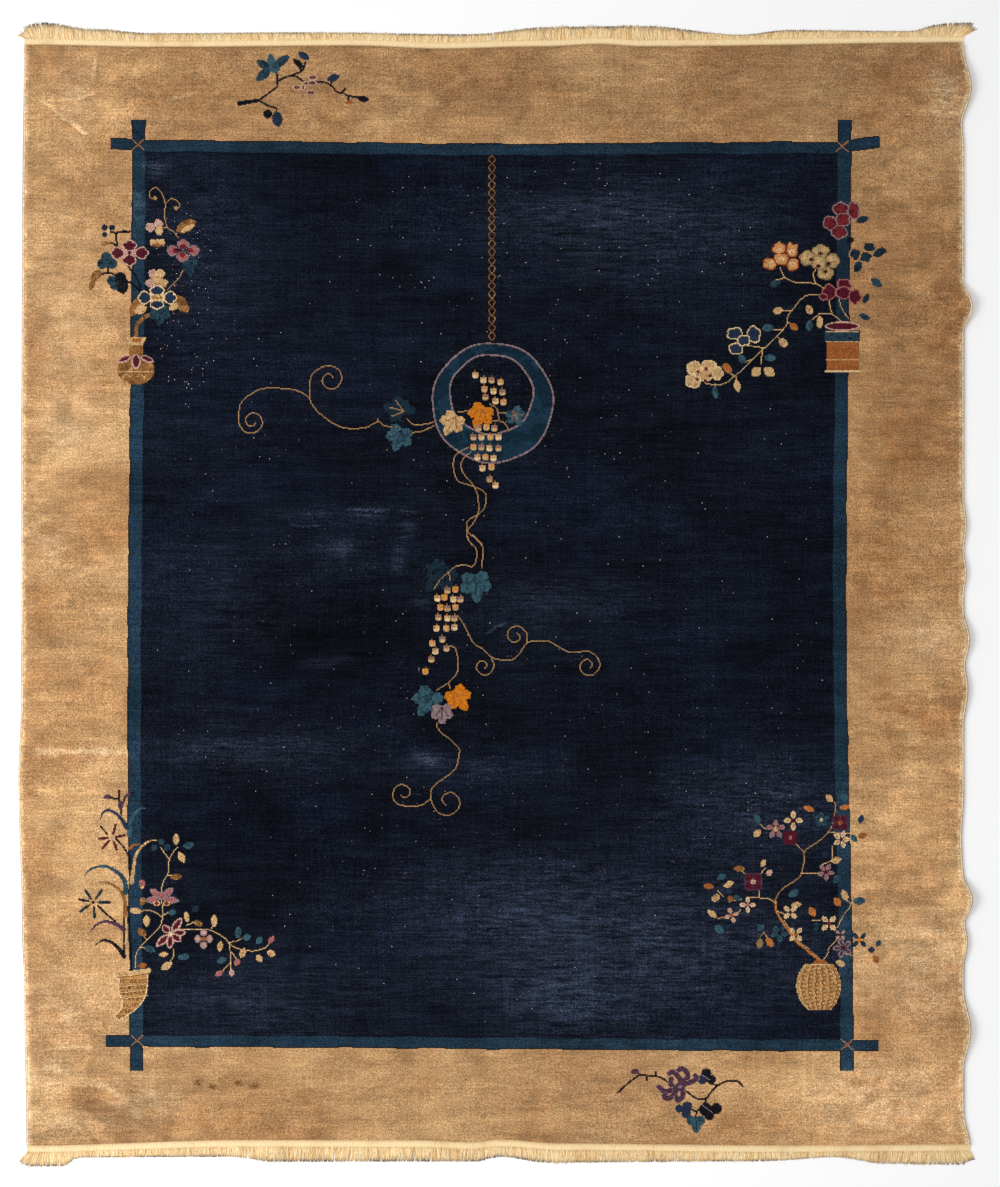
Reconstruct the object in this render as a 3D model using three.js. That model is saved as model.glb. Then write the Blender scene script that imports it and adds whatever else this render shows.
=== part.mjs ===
// Hand-knotted wool pile rug with flat-woven ends and a short warp fringe, laid out on a floor.
// Millimetres, +Z up. The floor is Z = 0, +X runs across the rug and +Y along it.
// The origin is on the floor, under the middle of the rug.
import * as THREE from 'three';
import { mergeVertices } from 'three/addons/utils/BufferGeometryUtils.js';

// Thicknesses and small sizes
const PILE_THICKNESS = 10;
const SHOULDER_WIDTH = 9;
const SHOULDER_DROP = 3;
const PIECE_GAP = 0.3;
const SELVEDGE_RADIUS = 3.2;
const SELVEDGE_SIDES = 8;
const WEB_WIDTH = 22;
const WEB_THICKNESS = 2.4;
const LOCK_TIP_THICKNESS = 1.5;
const LOCKS_PER_END = 130;
const LOCK_ROOT_HALF = 6;
const LOCK_TIP_HALF = 2.4;
const LOCK_UNEVENNESS = 7;
const LOCK_LEAN = 5;
const SHORTEST_LOCK = 6;
const FLARE_REACH = 45;
const JOIN_DISTANCE = 1e-4;

// Steps of the sine wave that makes the locks uneven
const UNEVEN_STEP = 12.9898;
const UNEVEN_KIND_STEP = 78.233;
const UNEVEN_STRETCH = 43758.5453;

// Spacing of the sections that the pile sheet is built from
const INNER_COLUMNS = 14;
const WIDEST_ROW_STEP = 150;
const RUFFLE_SECTIONS = [-1, -0.5, 0, 0.5, 1];
const RUFFLE_SPREAD = 1.4;
const RUFFLE_REACH = 110;
const RUFFLE_COLUMN_SHARES = [1, 0.64, 0.32];

// Place of the pile's left side along the rug, a slow bow
const LEFT_SIDE = [
  { at: -1418, place: -1219 },
  { at: -1028, place: -1225 },
  { at: -872, place: -1230 },
  { at: -482, place: -1240 },
  { at: -248, place: -1232 },
  { at: 454, place: -1232 },
  { at: 922, place: -1230 },
  { at: 1442, place: -1225 },
];

// The pile's right side is straight but for these soft ruffles, some of them lifted off the floor
const RIGHT_SIDE = 1205;
const RIGHT_RUFFLES = [
  { at: -1440, out: 17, halfLength: 70, lift: 0 },
  { at: -1132, out: 17, halfLength: 75, lift: 10 },
  { at: -904, out: 9, halfLength: 50, lift: 5 },
  { at: -794, out: 21, halfLength: 50, lift: 13 },
  { at: -638, out: -6, halfLength: 90, lift: 0 },
  { at: -248, out: 10, halfLength: 65, lift: 6 },
  { at: -118, out: 14, halfLength: 57, lift: 9 },
  { at: 56, out: 6, halfLength: 45, lift: 4 },
  { at: 181, out: 6, halfLength: 52, lift: 4 },
  { at: 748, out: 21, halfLength: 50, lift: 13 },
  { at: 1234, out: -5, halfLength: 55, lift: 0 },
  { at: 1317, out: 18, halfLength: 75, lift: 10 },
];

// Place of the pile's two ends across the rug
const TOP_END = [
  { at: -1225, place: 1427 },
  { at: -880, place: 1421 },
  { at: -385, place: 1425 },
  { at: -150, place: 1417 },
  { at: 122, place: 1423 },
  { at: 265, place: 1429 },
  { at: 369, place: 1423 },
  { at: 1210, place: 1433 },
];
const BOTTOM_END = [
  { at: -1220, place: -1431 },
  { at: -645, place: -1417 },
  { at: -200, place: -1418 },
  { at: -73, place: -1423 },
  { at: 5, place: -1416 },
  { at: 161, place: -1426 },
  { at: 733, place: -1431 },
  { at: 1222, place: -1428 },
];

// Place of the fringe's tips across the rug, and how far each corner's locks spread outwards
const TOP_FRINGE = {
  name: 'fringe_top',
  side: 1,
  pileEnd: TOP_END,
  leftFlare: 19,
  rightFlare: 42,
  tips: [
    { at: -1180, place: 1488 },
    { at: -1055, place: 1470 },
    { at: -900, place: 1460 },
    { at: -490, place: 1462 },
    { at: -73, place: 1457 },
    { at: 130, place: 1476 },
    { at: 380, place: 1479 },
    { at: 629, place: 1455 },
    { at: 754, place: 1468 },
    { at: 1066, place: 1465 },
    { at: 1191, place: 1486 },
  ],
};
const BOTTOM_FRINGE = {
  name: 'fringe_bottom',
  side: -1,
  pileEnd: BOTTOM_END,
  leftFlare: 23,
  rightFlare: 6,
  tips: [
    { at: -1180, place: -1488 },
    { at: -1090, place: -1464 },
    { at: -690, place: -1463 },
    { at: -590, place: -1476 },
    { at: -57, place: -1475 },
    { at: 5, place: -1463 },
    { at: 130, place: -1478 },
    { at: 681, place: -1474 },
    { at: 879, place: -1463 },
    { at: 1004, place: -1481 },
    { at: 1191, place: -1482 },
  ],
};

// Colours of the wool and cotton
const NAVY_PILE = new THREE.MeshStandardMaterial({ color: 0x18202f, roughness: 0.95, metalness: 0 });
const CREAM_WOOL = new THREE.MeshStandardMaterial({ color: 0xd8bd8c, roughness: 0.95, metalness: 0 });
const CREAM_COTTON = new THREE.MeshStandardMaterial({ color: 0xe6cf9f, roughness: 0.9, metalness: 0 });

// Smooth reading of a table whose rows are in order of their "at" column
function placeAt(table, at) {
  const next = table.findIndex((row) => row.at > at);
  if (next === 0) return table[0].place;
  if (next < 0) return table[table.length - 1].place;
  const before = table[next - 1];
  const after = table[next];
  const share = THREE.MathUtils.smoothstep(at, before.at, after.at);
  return THREE.MathUtils.lerp(before.place, after.place, share);
}

// Height of a ruffle's soft hump, 1 at its middle and 0 past its ends
function hump(ruffle, y) {
  const away = Math.abs(y - ruffle.at) / (RUFFLE_SPREAD * ruffle.halfLength);
  return away < 1 ? Math.cos((away * Math.PI) / 2) ** 2 : 0;
}

function rightSideAt(y) {
  return RIGHT_RUFFLES.reduce((x, ruffle) => x + ruffle.out * hump(ruffle, y), RIGHT_SIDE);
}

function rightLiftAt(y) {
  return RIGHT_RUFFLES.reduce((z, ruffle) => z + ruffle.lift * hump(ruffle, y), 0);
}

// Repeatable unevenness from -0.5 to 0.5 for lock number i
function uneven(i, kind) {
  const wave = Math.sin(i * UNEVEN_STEP + kind * UNEVEN_KIND_STEP) * UNEVEN_STRETCH;
  return wave - Math.floor(wave) - 0.5;
}

const pileWidth = RIGHT_SIDE - LEFT_SIDE[0].place;
const pileLength = TOP_END[0].place - BOTTOM_END[0].place;

// Shares of the pile's width, close together at the sides where it rounds off and ruffles
function pileColumns() {
  const first = SHOULDER_WIDTH / pileWidth;
  const last = 1 - RUFFLE_REACH / pileWidth;
  const inner = [0];
  for (let i = 0; i < INNER_COLUMNS; i += 1) {
    inner.push(THREE.MathUtils.lerp(first, last, i / INNER_COLUMNS));
  }
  const ruffleColumns = RUFFLE_COLUMN_SHARES.map((share) => 1 - (share * RUFFLE_REACH) / pileWidth);
  return [...inner, ...ruffleColumns, 1 - first, 1];
}

// Shares of the pile's length, with five sections to a ruffle and longer steps between ruffles
function pileRows() {
  const low = BOTTOM_END[0].place + SHOULDER_WIDTH;
  const high = TOP_END[0].place - SHOULDER_WIDTH;
  const shortestStep = 2 * SHOULDER_WIDTH;
  const wanted = RIGHT_RUFFLES.flatMap((ruffle) =>
    RUFFLE_SECTIONS.map((section) => ruffle.at + section * ruffle.halfLength),
  ).sort((a, b) => a - b);
  const places = [low];
  [...wanted.filter((y) => y > low + shortestStep && y < high - shortestStep), high].forEach((y) => {
    const before = places[places.length - 1];
    if (y - before < shortestStep && y !== high) return;
    const steps = Math.ceil((y - before) / WIDEST_ROW_STEP);
    for (let i = 1; i <= steps; i += 1) places.push(THREE.MathUtils.lerp(before, y, i / steps));
  });
  const shares = places.map((y) => (y - BOTTOM_END[0].place) / pileLength);
  return [0, ...shares, 1];
}

const columns = pileColumns();
const rows = pileRows();

// Point of the pile's plan at a share of its width and a share of its length
function planPoint(across, along) {
  const x = THREE.MathUtils.lerp(LEFT_SIDE[0].place, RIGHT_SIDE, across);
  const y = THREE.MathUtils.lerp(placeAt(BOTTOM_END, x), placeAt(TOP_END, x), along);
  return new THREE.Vector2(THREE.MathUtils.lerp(placeAt(LEFT_SIDE, y), rightSideAt(y), across), y);
}

// Joins the corners that faces share, so that the piece is one closed skin
function closedGeometry(geometry) {
  geometry.deleteAttribute('normal');
  geometry.deleteAttribute('uv');
  const merged = mergeVertices(geometry, JOIN_DISTANCE);
  merged.computeVertexNormals();
  return merged;
}

function namedMesh(name, geometry, material) {
  const mesh = new THREE.Mesh(closedGeometry(geometry), material);
  mesh.name = name;
  return mesh;
}

// The pile sheet: a box of thin sections, bent to the rug's uneven plan and rounded off at its rim
function pileField() {
  const columnSteps = columns.length - 1;
  const rowSteps = rows.length - 1;
  const geometry = new THREE.BoxGeometry(1, 1, 1, columnSteps, rowSteps, 1);
  const position = geometry.attributes.position;
  for (let i = 0; i < position.count; i += 1) {
    const column = Math.round((position.getX(i) + 0.5) * columnSteps);
    const row = Math.round((position.getY(i) + 0.5) * rowSteps);
    const isTop = position.getZ(i) > 0;
    const isRim = column === 0 || column === columnSteps || row === 0 || row === rowSteps;
    const plan = planPoint(columns[column], rows[row]);
    const inset = (1 - columns[column]) * pileWidth;
    const lift = rightLiftAt(plan.y) * (1 - THREE.MathUtils.smoothstep(inset, 0, RUFFLE_REACH));
    const top = isRim ? PILE_THICKNESS - SHOULDER_DROP : PILE_THICKNESS;
    position.setXYZ(i, plan.x, plan.y, lift + (isTop ? top : 0));
  }
  return namedMesh('pile_field', geometry, NAVY_PILE);
}

// An overcast side cord: a round bar with a flat facet on the floor, bent along the pile's side
function selvedge(name, across, outward, liftAt) {
  const rowSteps = rows.length - 1;
  const geometry = new THREE.CylinderGeometry(
    SELVEDGE_RADIUS, SELVEDGE_RADIUS, 1, SELVEDGE_SIDES, rowSteps, false, Math.PI / SELVEDGE_SIDES,
  );
  const position = geometry.attributes.position;
  const flatDepth = SELVEDGE_RADIUS * Math.cos(Math.PI / SELVEDGE_SIDES);
  for (let i = 0; i < position.count; i += 1) {
    const row = Math.round((position.getY(i) + 0.5) * rowSteps);
    const plan = planPoint(across, rows[row]);
    const centre = plan.x + outward * (PIECE_GAP + SELVEDGE_RADIUS);
    const height = liftAt(plan.y) + flatDepth + position.getZ(i);
    position.setXYZ(i, centre + position.getX(i), plan.y, height);
  }
  return namedMesh(name, geometry, CREAM_WOOL);
}

// A flat-woven band along one end of the pile, with the warp locks that grow out of it
function fringe({ name, side, pileEnd, leftFlare, rightFlare, tips }) {
  const cordWidth = PIECE_GAP + 2 * SELVEDGE_RADIUS;
  const endShare = side > 0 ? 1 : 0;
  const inner = columns.map((across) => planPoint(across, endShare));
  inner[0].x -= cordWidth;
  inner[inner.length - 1].x += cordWidth;
  const left = inner[0].x;
  const right = inner[inner.length - 1].x;
  const bandEdge = (x) => placeAt(pileEnd, x) + side * (PIECE_GAP + WEB_WIDTH);

  const outline = inner.map((point) => new THREE.Vector2(point.x, point.y + side * PIECE_GAP));
  outline.push(new THREE.Vector2(right, bandEdge(right)));
  for (let i = LOCKS_PER_END - 1; i >= 0; i -= 1) {
    const rootX = THREE.MathUtils.lerp(left, right, (i + 0.5) / LOCKS_PER_END);
    const flare = rightFlare * Math.exp((rootX - right) / FLARE_REACH)
      - leftFlare * Math.exp((left - rootX) / FLARE_REACH);
    const tipX = rootX + flare + LOCK_LEAN * uneven(i, side);
    const shorter = LOCK_UNEVENNESS * (0.5 + uneven(i, 2 * side));
    const reach = side * (placeAt(tips, rootX) - bandEdge(rootX)) - shorter;
    const tipY = bandEdge(rootX) + side * Math.max(reach, SHORTEST_LOCK);
    outline.push(new THREE.Vector2(rootX + LOCK_ROOT_HALF, bandEdge(rootX + LOCK_ROOT_HALF)));
    outline.push(new THREE.Vector2(tipX + LOCK_TIP_HALF, tipY));
    outline.push(new THREE.Vector2(tipX - LOCK_TIP_HALF, tipY));
    outline.push(new THREE.Vector2(rootX - LOCK_ROOT_HALF, bandEdge(rootX - LOCK_ROOT_HALF)));
  }
  outline.push(new THREE.Vector2(left, bandEdge(left)));

  const geometry = new THREE.ExtrudeGeometry(new THREE.Shape(outline), {
    depth: WEB_THICKNESS,
    bevelEnabled: false,
  });
  const position = geometry.attributes.position;
  for (let i = 0; i < position.count; i += 1) {
    const isTip = side * (position.getY(i) - bandEdge(position.getX(i))) > SHORTEST_LOCK / 2;
    if (isTip && position.getZ(i) > 0) position.setZ(i, LOCK_TIP_THICKNESS);
  }
  return namedMesh(name, geometry, CREAM_COTTON);
}

const rug = new THREE.Group();
rug.name = 'rug';
rug.add(
  pileField(),
  selvedge('selvedge_left', 0, -1, () => 0),
  selvedge('selvedge_right', 1, 1, rightLiftAt),
  fringe(TOP_FRINGE),
  fringe(BOTTOM_FRINGE),
);

export default rug;
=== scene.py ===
import math

import bpy
import numpy as np
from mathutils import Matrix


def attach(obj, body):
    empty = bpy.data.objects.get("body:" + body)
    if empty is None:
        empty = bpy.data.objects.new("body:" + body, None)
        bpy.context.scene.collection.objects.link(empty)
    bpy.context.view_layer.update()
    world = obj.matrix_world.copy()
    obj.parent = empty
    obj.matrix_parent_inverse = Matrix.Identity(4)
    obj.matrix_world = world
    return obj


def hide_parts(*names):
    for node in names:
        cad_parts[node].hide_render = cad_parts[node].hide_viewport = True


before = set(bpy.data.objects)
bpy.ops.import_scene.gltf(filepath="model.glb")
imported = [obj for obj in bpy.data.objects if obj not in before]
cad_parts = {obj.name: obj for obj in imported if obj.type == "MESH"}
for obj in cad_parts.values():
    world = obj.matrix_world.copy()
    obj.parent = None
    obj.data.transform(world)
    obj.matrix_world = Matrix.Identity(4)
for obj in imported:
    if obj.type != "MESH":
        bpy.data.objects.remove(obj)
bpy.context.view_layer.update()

# A hand-knotted wool rug, lying flat. Plans and tables are in millimetres, meshes in metres.
MM = 0.001

# Sizes and wear of the pile sheet, with painted light along its sides, and how finely its grid is drawn
PILE_HEIGHT = 10.0
SHOULDER_WIDTH = 9.0
SHOULDER_DROP = 3.2
SHEET_STEP = 14.0
LEAST_STEPS = 3
FITTING_ROUNDS = 5
RIM_INSETS = (0.0, 1.5, 4.0, 9.0)
LEFT_WEAR_AND_LIGHT = 0.5
RIGHT_WEAR_AND_LIGHT = 1.3
SIDE_WEAR_AND_LIGHT_REACH = 6.0
MAP_MARGIN = 0.01

# Unevenness of the clipped pile, as (height, cell, seed) rows, and the cells along a side of the noise
PILE_WAVES = ((0.42, 130, 1), (0.28, 47, 2))
NOISE_SIZE = 64

# The pattern is placed on a squared chart, one knot to a square, counted from its top left corner
KNOT = 2.6
FLECK = 1.7
KNOT_SINK = 0.8
KNOT_RISE = 0.5
KNOT_SPREAD = 1.06
KNOT_TIP_SHARE = 0.9
KNOT_SIZE_SPREAD = 0.08
KNOT_RISE_SPREAD = 0.3
CHART_MIDDLE = (498.0, 594.5)

# Place of the left side along the rug, as (at, place) rows
LEFT_SIDE = ((-1418, -1219), (-1028, -1225), (-872, -1230), (-482, -1240),
             (-248, -1232), (454, -1232), (922, -1230), (1442, -1225))

# The right side and its soft ruffles, as (at, out, half length, lift) rows, with the numbers of
# the columns for out and lift
RIGHT_SIDE = 1205.0
RUFFLE_OUT = 1
RUFFLE_LIFT = 3
RUFFLE_SPREAD = 1.4
RUFFLE_REACH = 110.0
RIGHT_RUFFLES = (
    (-1440, 17, 70, 0), (-1132, 17, 75, 10), (-904, 9, 50, 5), (-794, 21, 50, 13), (-638, -6, 90, 0),
    (-248, 10, 65, 6), (-118, 14, 57, 9), (56, 6, 45, 4), (181, 6, 52, 4), (748, 21, 50, 13),
    (1234, -5, 55, 0), (1317, 18, 75, 10),
)

# Place of the two ends across the rug
TOP_END = ((-1225, 1427), (-880, 1421), (-385, 1425), (-150, 1417),
           (122, 1423), (265, 1429), (369, 1423), (1210, 1433))
BOTTOM_END = ((-1220, -1431), (-645, -1417), (-200, -1418), (-73, -1423),
              (5, -1416), (161, -1426), (733, -1431), (1222, -1428))

# Middle lines of the four crossed bars that frame the field, and where the bars end
LEFT_BAR = ((-1236, -939), (-365, -945), (1234, -933))
RIGHT_BAR = ((-1236, 906), (0, 887), (1234, 900))
TOP_BAR = ((-1006, 1171), (-879, 1165), (-21, 1156), (863, 1161), (991, 1174))
BOTTOM_BAR = ((-1019, -1160), (988, -1171))
SIDE_BAR_WIDTH = 34.0
END_BAR_WIDTH = 29.0
BAR_ENDS_LEFT = ((-1236, -1019), (1234, -1006))
BAR_ENDS_RIGHT = ((-1236, 988), (1234, 992))
BAR_ENDS_LOW = -1237.0
BAR_ENDS_HIGH = 1233.0

# Waver of the bars' edges, as (height, length, share of the phase) rows, and the inset of their dark line
BAR_WAVES = ((0.9, 41.0, 1.0), (0.63, 17.0, 2.3))
BAR_LINE_INSET = 0.8

# Spans between the lines of the sheet's grid, across and along alike, counted from 0 at the border
BAR_SPANS = (2, 4)
FIELD_SPAN = 3
FRAME_SPANS = (1, 2, 3, 4, 5)


# Reading of the plan

def eased(share):
    """Share from 0 to 1 that leaves and arrives softly."""
    return share * share * (3 - 2 * share)


def place_at(table, at):
    """Smooth reading of a table of (at, place) rows."""
    keys, places = np.array(table, float).T
    i = np.clip(np.searchsorted(keys, at, side="right") - 1, 0, len(keys) - 2)
    share = np.clip((at - keys[i]) / (keys[i + 1] - keys[i]), 0, 1)
    return places[i] + (places[i + 1] - places[i]) * eased(share)


def ruffles_at(y, column):
    """Sum of the right side's humps at y, read from one column of their rows."""
    total = np.zeros_like(np.asarray(y, float))
    for row in RIGHT_RUFFLES:
        at, _, half_length, _ = row
        away = np.clip(np.abs(y - at) / (RUFFLE_SPREAD * half_length), 0, 1)
        total = total + row[column] * np.cos(away * math.pi / 2) ** 2
    return total


def left_at(y):
    """Place of the left side at y."""
    return place_at(LEFT_SIDE, y)


def right_at(y):
    """Place of the ruffled right side at y."""
    return RIGHT_SIDE + ruffles_at(y, RUFFLE_OUT)


def lift_at(x, y):
    """Height of the ruffled right side off the floor."""
    inset = np.clip((right_at(y) - x) / RUFFLE_REACH, 0, 1)
    return ruffles_at(y, RUFFLE_LIFT) * (1 - eased(inset))


def wobble(along, phase):
    """Small waver of a hand-knotted line."""
    return sum(height * np.sin(along / length + share * phase) for height, length, share in BAR_WAVES)


def soft_noise(x, y, cell, seed):
    """Smooth value noise from -1 to 1 with cells of that size."""
    grid = np.random.default_rng(seed).uniform(-1, 1, (NOISE_SIZE, NOISE_SIZE))
    u = x / cell + (NOISE_SIZE - 1) / 2
    v = y / cell + (NOISE_SIZE - 1) / 2
    i = np.floor(u).astype(int)
    j = np.floor(v).astype(int)
    s = eased(u - i)
    t = eased(v - j)

    def at(a, b):
        return grid[a % NOISE_SIZE, b % NOISE_SIZE]

    low = at(i, j) * (1 - s) + at(i + 1, j) * s
    high = at(i, j + 1) * (1 - s) + at(i + 1, j + 1) * s
    return low * (1 - t) + high * t


def surface_at(x, y):
    """Height of the clipped pile, with its rounded rim, ruffles and slight unevenness."""
    inset = np.minimum(
        np.minimum(x - left_at(y), right_at(y) - x),
        np.minimum(y - place_at(BOTTOM_END, x), place_at(TOP_END, x) - y),
    )
    rim = np.clip(1 - inset / SHOULDER_WIDTH, 0, 1)
    uneven = sum(height * soft_noise(x, y, cell, seed) for height, cell, seed in PILE_WAVES)
    return PILE_HEIGHT - SHOULDER_DROP * rim * rim + uneven + lift_at(x, y)


def chart_place(column, row):
    """Place in millimetres of a point of the squared chart."""
    return (column - CHART_MIDDLE[0]) * KNOT, (CHART_MIDDLE[1] - row) * KNOT


# Meshes and Geometry Nodes

def linear(red, green, blue):
    """Linear colour from the 0 to 255 values that a colour card gives."""
    shares = (red / 255, green / 255, blue / 255)
    return tuple(s / 12.92 if s < 0.0404 else ((s + 0.055) / 1.055) ** 2.4 for s in shares) + (1.0,)


def mesh_object(name, points, faces, smooth=False):
    """Plain mesh object from points in millimetres."""
    mesh = bpy.data.meshes.new(name)
    mesh.from_pydata((np.asarray(points, float) * MM).tolist(), [], [list(f) for f in faces])
    mesh.polygons.foreach_set("use_smooth", [smooth] * len(mesh.polygons))
    mesh.update()
    made = bpy.data.objects.new(name, mesh)
    bpy.context.collection.objects.link(made)
    return made


def store(piece, label, kind, values):
    """Values kept on the points of a piece under that name."""
    field = {"FLOAT": "value", "FLOAT_VECTOR": "vector", "FLOAT_COLOR": "color"}[kind]
    stored = piece.data.attributes.new(label, kind, "POINT")
    stored.data.foreach_set(field, np.asarray(values, np.float32).ravel())


def plan_map(piece):
    """Map of the piece seen from above, so that its wool keeps its place when it is baked."""
    mesh = piece.data
    points = np.empty(3 * len(mesh.vertices))
    mesh.vertices.foreach_get("co", points)
    points = points.reshape(-1, 3)
    corners = np.empty(len(mesh.loops), int)
    mesh.loops.foreach_get("vertex_index", corners)
    low = points.min(0)[:2]
    high = points.max(0)[:2]
    shares = (points[corners, :2] - low) / (high - low)
    layer = mesh.uv_layers.new(name="OFBake")
    layer.data.foreach_set("uv", (MAP_MARGIN + (1 - 2 * MAP_MARGIN) * shares).ravel())


def planting_tree():
    """Tree that stands a turned and sized copy of one small piece on each point of a mesh."""
    tree = bpy.data.node_groups.new("planted copies", "GeometryNodeTree")
    sockets = (
        ("Points", "INPUT", "NodeSocketGeometry"),
        ("Piece", "INPUT", "NodeSocketObject"),
        ("Finish", "INPUT", "NodeSocketMaterial"),
        ("Turn spread", "INPUT", "NodeSocketVector"),
        ("Size spread", "INPUT", "NodeSocketVector"),
        ("Seed", "INPUT", "NodeSocketInt"),
        ("Pieces", "OUTPUT", "NodeSocketGeometry"),
    )
    for label, side, kind in sockets:
        tree.interface.new_socket(label, in_out=side, socket_type=kind)
    given = tree.nodes.new("NodeGroupInput").outputs
    source = add(tree, "GeometryNodeObjectInfo", {"Object": given["Piece"]})
    copies = add(tree, "GeometryNodeInstanceOnPoints",
                 {"Points": given["Points"], "Instance": source.outputs["Geometry"]})
    for attribute, spread, socket, seed_step in (
            ("turn", "Turn spread", "Rotation", 0), ("size", "Size spread", "Scale", 1)):
        stored = add(tree, "GeometryNodeInputNamedAttribute", {"Name": attribute}, data_type="FLOAT_VECTOR")
        lowest = add(tree, "ShaderNodeVectorMath", {0: given[spread], "Scale": -1.0}, operation="SCALE")
        seed = add(tree, "ShaderNodeMath", {0: given["Seed"], 1: seed_step})
        random = add(tree, "FunctionNodeRandomValue",
                     {"Min": lowest.outputs["Vector"], "Max": given[spread], "Seed": seed.outputs[0]},
                     data_type="FLOAT_VECTOR")
        total = add(tree, "ShaderNodeVectorMath",
                    {0: stored.outputs["Attribute"], 1: random.outputs["Value"]})
        tree.links.new(total.outputs["Vector"], copies.inputs[socket])
    real = add(tree, "GeometryNodeRealizeInstances", {"Geometry": copies.outputs["Instances"]})
    finish = add(tree, "GeometryNodeSetMaterial",
                 {"Geometry": real.outputs["Geometry"], "Material": given["Finish"]})
    add(tree, "NodeGroupOutput", {"Pieces": finish.outputs["Geometry"]})
    return tree


def plant(name, places, turns, sizes, piece, finish, colours=None,
          turn_spread=(0, 0, 0), size_spread=(0, 0, 0), seed=1):
    """Plain mesh of copies of a small piece, one on each place, by the planting tree."""
    base = mesh_object(name + ".points", places, [])
    store(base, "turn", "FLOAT_VECTOR", turns)
    store(base, "size", "FLOAT_VECTOR", sizes)
    if colours is not None:
        store(base, "wool", "FLOAT_COLOR", colours)
    grow = base.modifiers.new("planting", "NODES")
    grow.node_group = PLANTING
    values = {"Piece": piece, "Finish": finish, "Turn spread": turn_spread,
              "Size spread": size_spread, "Seed": seed}
    for item in PLANTING.interface.items_tree:
        if item.name in values:
            grow[item.identifier] = values[item.name]
    bpy.context.view_layer.update()
    ready = base.evaluated_get(bpy.context.evaluated_depsgraph_get())
    mesh = bpy.data.meshes.new_from_object(ready)
    mesh.name = name
    base.modifiers.remove(grow)
    bpy.data.objects.remove(base)
    made = bpy.data.objects.new(name, mesh)
    bpy.context.collection.objects.link(made)
    return made


# Nodes of the materials

# Settings that the wools share, noise scales in cells a metre and depths in metres
WOOL_ROUGHNESS = 0.95
WOOL_SHINE = 0.04
TUFT_CELLS = 420
PILE_BUMP_DEPTH = 0.0016
GROUND_BUMP = 0.55
PATTERN_BUMP = 0.4
NOISE_SHIFT = (1.0, 0.7, 0.3)

# A pressed fold, painted as a pale lit ridge with a painted shadow at its foot: the even share of its
# length, the place of its shaded foot and how far both spread
FOLD_EVEN_SHARE = 0.35
FOLD_FOOT = 1.3
FOLD_SPREAD = 1.2


def add(tree, kind, inputs, **settings):
    """New node with its settings, and its inputs given as values or as sockets to link."""
    made = tree.nodes.new(kind)
    for label, value in settings.items():
        setattr(made, label, value)
    for label, value in inputs.items():
        if isinstance(value, bpy.types.NodeSocket):
            tree.links.new(value, made.inputs[label])
        else:
            made.inputs[label].default_value = value
    return made


def mixed(tree, share, first, second):
    """Colour between two colours; sockets 6 and 7 are the colour inputs, output 2 the result."""
    return add(tree, "ShaderNodeMix", {0: share, 6: first, 7: second}, data_type="RGBA").outputs[2]


def stepped(tree, value, low, high, to_low=0.0, to_high=1.0):
    """Value carried smoothly from one range to another."""
    return add(tree, "ShaderNodeMapRange", {"Value": value, 1: low, 2: high, 3: to_low, 4: to_high},
               interpolation_type="SMOOTHSTEP").outputs[0]


def grained(tree, coords, scale, detail, stretch=(1, 1, 1), shift=0.0, roughness=0.55, swirl=0.0):
    """Noise of that many cells a metre, stretched, shifted and swirled."""
    location = tuple(shift * share for share in NOISE_SHIFT)
    placed = add(tree, "ShaderNodeMapping", {"Vector": coords, "Scale": stretch, "Location": location})
    return add(tree, "ShaderNodeTexNoise",
               {"Vector": placed.outputs[0], "Scale": scale, "Detail": detail,
                "Roughness": roughness, "Distortion": swirl}).outputs["Fac"]


def worked(tree, operation, first, second=0.0, clamp=False):
    """Result of one sum on two values, held between 0 and 1 if asked."""
    made = add(tree, "ShaderNodeMath", {0: first, 1: second}, operation=operation, use_clamp=clamp)
    return made.outputs[0]


def stored_value(tree, label):
    """Value stored on the mesh under that name."""
    return add(tree, "ShaderNodeAttribute", {}, attribute_name=label).outputs["Fac"]


def scaled(tree, colour, value):
    """Colour made lighter or darker by a value round 1."""
    return add(tree, "ShaderNodeVectorMath", {0: colour, "Scale": value}, operation="SCALE").outputs[0]


def bumped(tree, shader, height, strength, depth):
    """Bump from a height, on the shader."""
    bump = add(tree, "ShaderNodeBump", {"Height": height, "Strength": strength, "Distance": depth})
    tree.links.new(bump.outputs[0], shader.inputs["Normal"])


def pile_bump(tree, shader, coords, strength):
    """Clipped tufts and the rows they are tied in, as bump."""
    tufts = grained(tree, coords, TUFT_CELLS, detail=2.0, shift=4.1)
    rows = grained(tree, coords, 6, detail=2.0, stretch=(1, 45, 1), shift=1.7)
    bumped(tree, shader, worked(tree, "ADD", rows, tufts), strength, PILE_BUMP_DEPTH)


def wool_shader(name):
    """Material with the settings that all the wool shares, its tree and its object coordinates."""
    material = bpy.data.materials.new(name)
    material.use_nodes = True
    tree = material.node_tree
    shader = tree.nodes["Principled BSDF"]
    shader.inputs["Roughness"].default_value = WOOL_ROUGHNESS
    shader.inputs["Specular IOR Level"].default_value = WOOL_SHINE
    coords = add(tree, "ShaderNodeTexCoord", {}).outputs["Object"]
    return material, tree, shader, coords


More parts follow.
